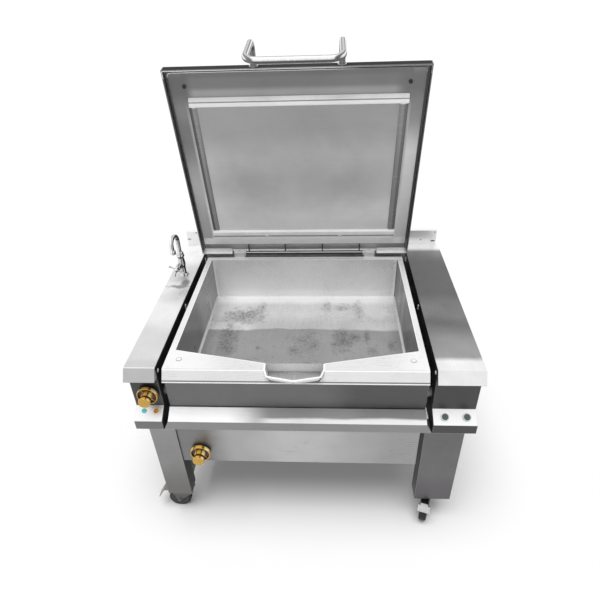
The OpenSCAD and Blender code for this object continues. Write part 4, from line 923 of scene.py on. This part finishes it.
def cavity():
    """The formed sheet inside the pan, the rolled edge round it and the two studs."""
    rings = [cavity_ring(0, TOP_Z - 0.4, ROOT_Z - 0.8), cavity_ring(0, ROOT_Z - 2, ROOT_Z - 2),
             cavity_ring(0, FLOOR_Z + 60, FLOOR_Z + 60)]
    for k in range(7):
        a = math.pi / 2 * k / 6
        z = FLOOR_Z + LINER_GAP + COVE_R * (1 - math.sin(a))
        rings.append(cavity_ring(COVE_R * (1 - math.cos(a)), z, z))
    n = len(rings[0])
    points = [q for ring in rings for q in ring]
    faces = [(k * n + i, k * n + (i + 1) % n, (k + 1) * n + (i + 1) % n, (k + 1) * n + i)
             for k in range(len(rings) - 1) for i in range(n)]
    faces.append(tuple((len(rings) - 1) * n + i for i in range(n)))
    piece("cavity_sheet", Shape(points, faces), "pan", [CAVITY], sharp=50)

    way = [(SPOUT_X, ROOT_Y, TOP_Z), (CAV_X, CAV_Y0, TOP_Z), (CAV_X, CAV_Y1, TOP_Z),
           (-CAV_X, CAV_Y1, TOP_Z), (-CAV_X, CAV_Y0, TOP_Z), (-SPOUT_X, ROOT_Y, TOP_Z)]
    roll = tube(eased(way, 9, 6), 1.5, 10).moved(spot(0, 0, -0.7))
    piece("cavity_edge", roll, "pan", [BRIGHT])

    shapes = []
    ring = [(7.5, 0), (11, 0), (11, 1.4), (10.2, 2.2), (8.6, 2.2), (7.6, 1.5), (7.0, 1.2),
            (0.01, 1.6)]
    for s in (-1, 1):
        shapes.append(lathe(ring, 40).moved(spot(STUD_X * s, STUD_Y, TOP_Z)))
    piece("rim_studs", joined(shapes), "pan", [STUD])


SPOUT_T, SPOUT_EDGE_R, SPOUT_EDGE_Z, SPOUT_FOLD_Z = 2.4, 3.4, 818.4, 789


def spout():
    """Two floor plates, two lip plates and two side walls, folded, with a rolled edge."""
    half = {"mid": (0, 30.5, ROOT_Z), "outer": (109.5, 30.5, ROOT_Z), "tip_fold": (0, -40, SPOUT_FOLD_Z),
            "fold": (88, -24, SPOUT_FOLD_Z), "tip": (0, -60.5, SPOUT_EDGE_Z),
            "corner": (98, -38, SPOUT_EDGE_Z), "rear": (109.5, 30.5, SPOUT_EDGE_Z),
            "nose": (109.5, 0, SPOUT_EDGE_Z)}
    plates = [("mid", "outer", "fold", "tip_fold"), ("tip_fold", "fold", "corner", "tip"),
              ("outer", "rear", "nose", "corner", "fold")]
    shapes = []
    for s in (-1, 1):
        for names in plates:
            points = [(half[n][0] * s, half[n][1], half[n][2]) for n in names]
            shapes.append(Shape(points, [tuple(range(len(points)))]))
    thing = piece("spout_sheet", joined(shapes), "pan", [SPOUT], ("pour_spout",), 20)
    thick = thing.modifiers.new("thick", "SOLIDIFY")
    thick.thickness = SPOUT_T / 1000
    thick.offset = 0
    names = ["rear", "nose", "corner"]
    right = [Vector(half[n]) for n in names]
    left = [Vector((-p.x, p.y, p.z)) for p in reversed(right)]
    edge = tube(eased(right + [Vector(half["tip"])] + left, 6, 5), SPOUT_EDGE_R, 14)
    piece("spout_edge", edge, "pan", [BRIGHT])


# Lid: drip rails, edges and bolts

# LINING_T is the height of the inner sheet when the lid is closed
LINING_T, RAIL_T, LID_L = 843, 1.6, 888
BOLT_X, BOLT_S, BOLT_T = 177, 112, 831.5
HINGE_SCREW_X, HINGE_RING_X = 327, 296.5
CLOSING_X = ((-500, -364), (364, 500))


def lid_details():
    """The folded drip rails, the lid's edges and the sheet that closes it beside the hinge."""
    top = [(776, LINING_T - 0.4), (764, 831), (761, 832.5), (758, 830.5), (744, 829), (741, 836)]
    top_rail = prism(folded(eased([(*q, 0) for q in top], 3, 4), RAIL_T), -431, 439, on_lid)
    low = [(132, LINING_T - 0.4), (127, 832), (110, 830), (106, 836), (102, 830), (85, 832),
           (80, LINING_T - 0.4)]
    low_rail = prism(folded(eased([(*q, 0) for q in low], 2, 4), RAIL_T), -438, 438, on_lid)
    shapes = [top_rail, low_rail]
    for s in (-1, 1):
        side = [(437 * s, LINING_T - 0.4), (431 * s, 838), (412 * s, 838), (405 * s, LINING_T - 0.4)]
        path = eased([(*q, 0) for q in side], 4, 4)
        shapes.append(prism(folded(path, 1.2), 130, 742, lambda d, q: lid_at(q[0], d, q[1])))
    piece("drip_rails", joined(shapes), "lid", [RAILS], ("lid_frame",))

    shapes = []
    way = [(-497, 26, LINING_T - 1), (-497, 872, LINING_T - 1), (497, 872, LINING_T - 1),
           (497, 26, LINING_T - 1)]
    path = [lid_at(*q) for q in eased(way, 14, 6)]
    shapes.append(tube(path, 1.6, 12))
    lip = [(-509.5, 12, 825.6), (-509.5, 884.6, 825.6), (509.5, 884.6, 825.6), (509.5, 12, 825.6)]
    shapes.append(tube([lid_at(*q) for q in eased(lip, 6, 4)], 2.4, 12))
    piece("lid_edges", joined(shapes), "lid", [LID_EDGE])
    shapes = [prism([(x0, 1), (x1, 1), (x1, 21), (x0, 21)], LINING_T - 2.2, LINING_T - 0.6,
                    lambda d, q: lid_at(q[0], q[1], d)) for x0, x1 in CLOSING_X]
    piece("lid_closing_sheet", joined(shapes), "lid", [BRIGHT])
    # A dark strip over the lid's front face: painted shade.
    strip = prism([(-508, 829), (508, 829), (508, 860), (-508, 860)], LID_L - 1, LID_L + 0.4,
                  lambda d, q: lid_at(q[0], d, q[1]))
    piece("lid_front_painted_shade", strip, "lid", [SHADED])

    shapes = []
    facing = Matrix.Rotation(-LID_OPEN, 4, "X") @ turn(180, "X")
    for x in (-BOLT_X, BOLT_X):
        place = Matrix.Translation(lid_at(x, BOLT_S, BOLT_T)) @ facing
        shapes.append(lathe([(8, 0), (8, 3.4), (7, 4.6), (3, 4.9), (0.01, 4.9)], 6).moved(place))
        shapes.append(lathe([(11, -0.4), (11, 0.9), (10, 1.2), (7, 1.2)], 32).moved(place))
    piece("lid_bolts", joined(shapes), "lid", [BRIGHT])


def hinge_details():
    """Screws of the hinge blocks and end rings of the hinge tube."""
    screws, rings = [], []
    ring = [(10.2, -3), (12, -3), (12.6, -2.2), (12.6, 2.2), (12, 3), (10.2, 3)]
    for s in (-1, 1):
        x = s * HINGE_SCREW_X
        screws.append(dome(5, 2.4).moved(spot(x, 848.5, 852) @ turn(20, "X")))
        screws.append(dome(4.5, 2.2).moved(spot(x, PAN_D - 0.2, 806) @ turn(90, "X")))
        place = spot(s * HINGE_RING_X, HINGE_Y, HINGE_Z) @ turn(90, "Y")
        rings.append(lathe(ring, 32).moved(place))
    piece("hinge_screws", joined(screws), "pan", [HINGE])
    piece("hinge_rings", joined(rings), "lid", [HINGE])


# Small parts on the frame

UPSTAND_T, PANEL_SCREW_R = 25, 4.5
CHEEK_Z, CHEEK_H = 546, 274

# Places of the cheek plates' screws, as shares of the unit's depth and of the cheek's height
CHEEK_SCREWS = [(0.02, 0.88), (0.46, 0.83), (0.46, 0.88), (0.9, 0.83), (0.9, 0.88)]


def cheek_screws():
    """Domed screws with washers on the inner sides of the cheek plates."""
    shapes = []
    for s in (-1, 1):
        for share_y, share_z in CHEEK_SCREWS:
            z = CHEEK_Z + CHEEK_H * share_z
            place = spot(s * INNER_X, UNIT_D * share_y + 6, z) @ turn(-90 * s, "Y")
            shapes.append(dome(7, 3).moved(place))
            shapes.append(lathe([(6.8, -0.3), (8.6, -0.3), (8.6, 0.5), (6.8, 0.9)], 28).moved(place))
    piece("cheek_screw_heads", joined(shapes), "frame", [BRIGHT], ("cheek_screws",))


def fixings():
    """Flush screws of the rear panel and domed ones on the consoles' outer sides."""
    shapes = []
    r, rear = PANEL_SCREW_R, UNIT_D + UPSTAND_T
    for x in (-590, -300, 0, 300, 645):
        for z in (572, 700, 862):
            flush = lathe([(r, -0.5), (r, 0.03), (1.2, 0.03), (1.0, -0.3), (0.01, -0.3)], 24)
            shapes.append(flush.moved(spot(x, rear, z) @ turn(-90, "X")))
    for x, s in ((-630, -1), (684, 1)):
        for y in (60, 350, 640, 930):
            for z in (566, 776):
                shapes.append(dome(r, 2).moved(spot(x, y, z) @ turn(90 * s, "Y")))
    piece("panel_screws", joined(shapes), "frame", [HINGE])


def upstand_marks():
    """Slots and screws in the front of the upstand, beside the worktops."""
    shapes = [slab((652, UNIT_D - 1.2, 836), (672, UNIT_D + 0.6, 842), 0.5),
              slab((-622, UNIT_D - 1.2, 855), (-604, UNIT_D + 0.6, 859), 0.5)]
    for x, z in ((-572, 893), (668, 888), (600, 846)):
        shapes.append(dome(3.5, 1.4).moved(spot(x, UNIT_D + 0.2, z) @ turn(90, "X")))
    piece("upstand_marks", joined(shapes), "frame", [BLACK_PLASTIC])


# Stage

FLOOR_GLOW, FLOOR_TONE, FLOOR_HALF = 0.07, 0.8, 60
LAMP_PLACE, LAMP_TARGET = (-150, -20, 3200), (0, 400, 0)
SKY_LIGHT, SUN_LIGHT, SUN_SPREAD = 0.32, 2.8, math.radians(44)


def floor():
    """A pale matt floor that keeps the shadow."""
    g = Graph("floor_look")
    glow = g.node("ShaderNodeEmission", {"Strength": FLOOR_GLOW})
    g.out.inputs["Base Color"].default_value = (FLOOR_TONE, FLOOR_TONE, FLOOR_TONE, 1)
    g.out.inputs["Roughness"].default_value = 0.9
    g.out.inputs["Specular IOR Level"].default_value = 0.0
    both = g.node("ShaderNodeAddShader", {0: g.out.outputs[0], 1: glow.outputs[0]})
    g.tree.links.new(both.outputs[0], g.tree.nodes["Material Output"].inputs[0])
    mesh = bpy.data.meshes.new("floor")
    s = FLOOR_HALF
    mesh.from_pydata([(-s, -s, 0), (s, -s, 0), (s, s, 0), (-s, s, 0)], [], [(0, 1, 2, 3)])
    mesh.materials.append(g.material)
    ground = bpy.data.objects.new("floor", mesh)
    bpy.context.scene.collection.objects.link(ground)


def world():
    """White to the camera and in reflections, softer as light."""
    w = bpy.data.worlds.new("studio")
    bpy.context.scene.world = w
    w.use_nodes = True
    nodes, links = w.node_tree.nodes, w.node_tree.links
    path = nodes.new("ShaderNodeLightPath")
    white = path.outputs["Is Camera Ray"]
    for ray in ("Is Glossy Ray", "Is Transmission Ray"):
        either = nodes.new("ShaderNodeMath")
        either.operation = "MAXIMUM"
        links.new(white, either.inputs[0])
        links.new(path.outputs[ray], either.inputs[1])
        white = either.outputs[0]
    level = nodes.new("ShaderNodeMapRange")
    level.inputs["To Min"].default_value = SKY_LIGHT
    level.inputs["To Max"].default_value = 1.0
    links.new(white, level.inputs["Value"])
    sky = nodes["Background"]
    sky.inputs["Color"].default_value = (1, 1, 1, 1)
    links.new(level.outputs["Result"], sky.inputs["Strength"])
    w.cycles.sampling_method = "NONE"


def lamp(place, target):
    """One wide sun from a place to a target."""
    light = bpy.data.lights.new("soft_light", "SUN")
    light.energy = SUN_LIGHT
    light.angle = SUN_SPREAD
    thing = bpy.data.objects.new("soft_light", light)
    aim = at(*target) - at(*place)
    thing.rotation_euler = aim.to_track_quat("-Z", "Y").to_euler()
    thing.visible_glossy = False
    bpy.context.scene.collection.objects.link(thing)


def camera():
    """The photograph's viewpoint."""
    yaw, pitch, roll = (math.radians(a) for a in (EYE_YAW, EYE_PITCH, EYE_ROLL))
    ahead = Vector((math.sin(yaw) * math.cos(pitch), math.cos(yaw) * math.cos(pitch),
                    -math.sin(pitch)))
    right = Vector((math.cos(yaw), -math.sin(yaw), 0))
    down = ahead.cross(right)
    right, down = (math.cos(roll) * right + math.sin(roll) * down,
                   -math.sin(roll) * right + math.cos(roll) * down)
    lens_data = bpy.data.cameras.new("camera")
    lens_data.sensor_width = SENSOR_W
    lens_data.lens = FOCAL_PX / PICTURE_PX * SENSOR_W
    lens_data.shift_x = (PICTURE_PX / 2 - MIDDLE_PX) / PICTURE_PX
    eye = bpy.data.objects.new("camera", lens_data)
    place = at(*EYE)
    rows = [(right[i], -down[i], -ahead[i], place[i]) for i in range(3)]
    eye.matrix_world = Matrix(rows + [(0, 0, 0, 1)])
    bpy.context.scene.collection.objects.link(eye)
    bpy.context.scene.camera = eye


camera()
world()
floor()
lamp(LAMP_PLACE, LAMP_TARGET)
bpy.context.scene.view_settings.view_transform = "Standard"
dress()
for knob_name, knob_place in KNOBS.items():
    knob(knob_name, knob_place)
tap()
cavity()
spout()
lid_details()
hinge_details()
cheek_screws()
fixings()
upstand_marks()
for castor_name in CASTORS:
    wheel(castor_name)
    castor_trim(castor_name)
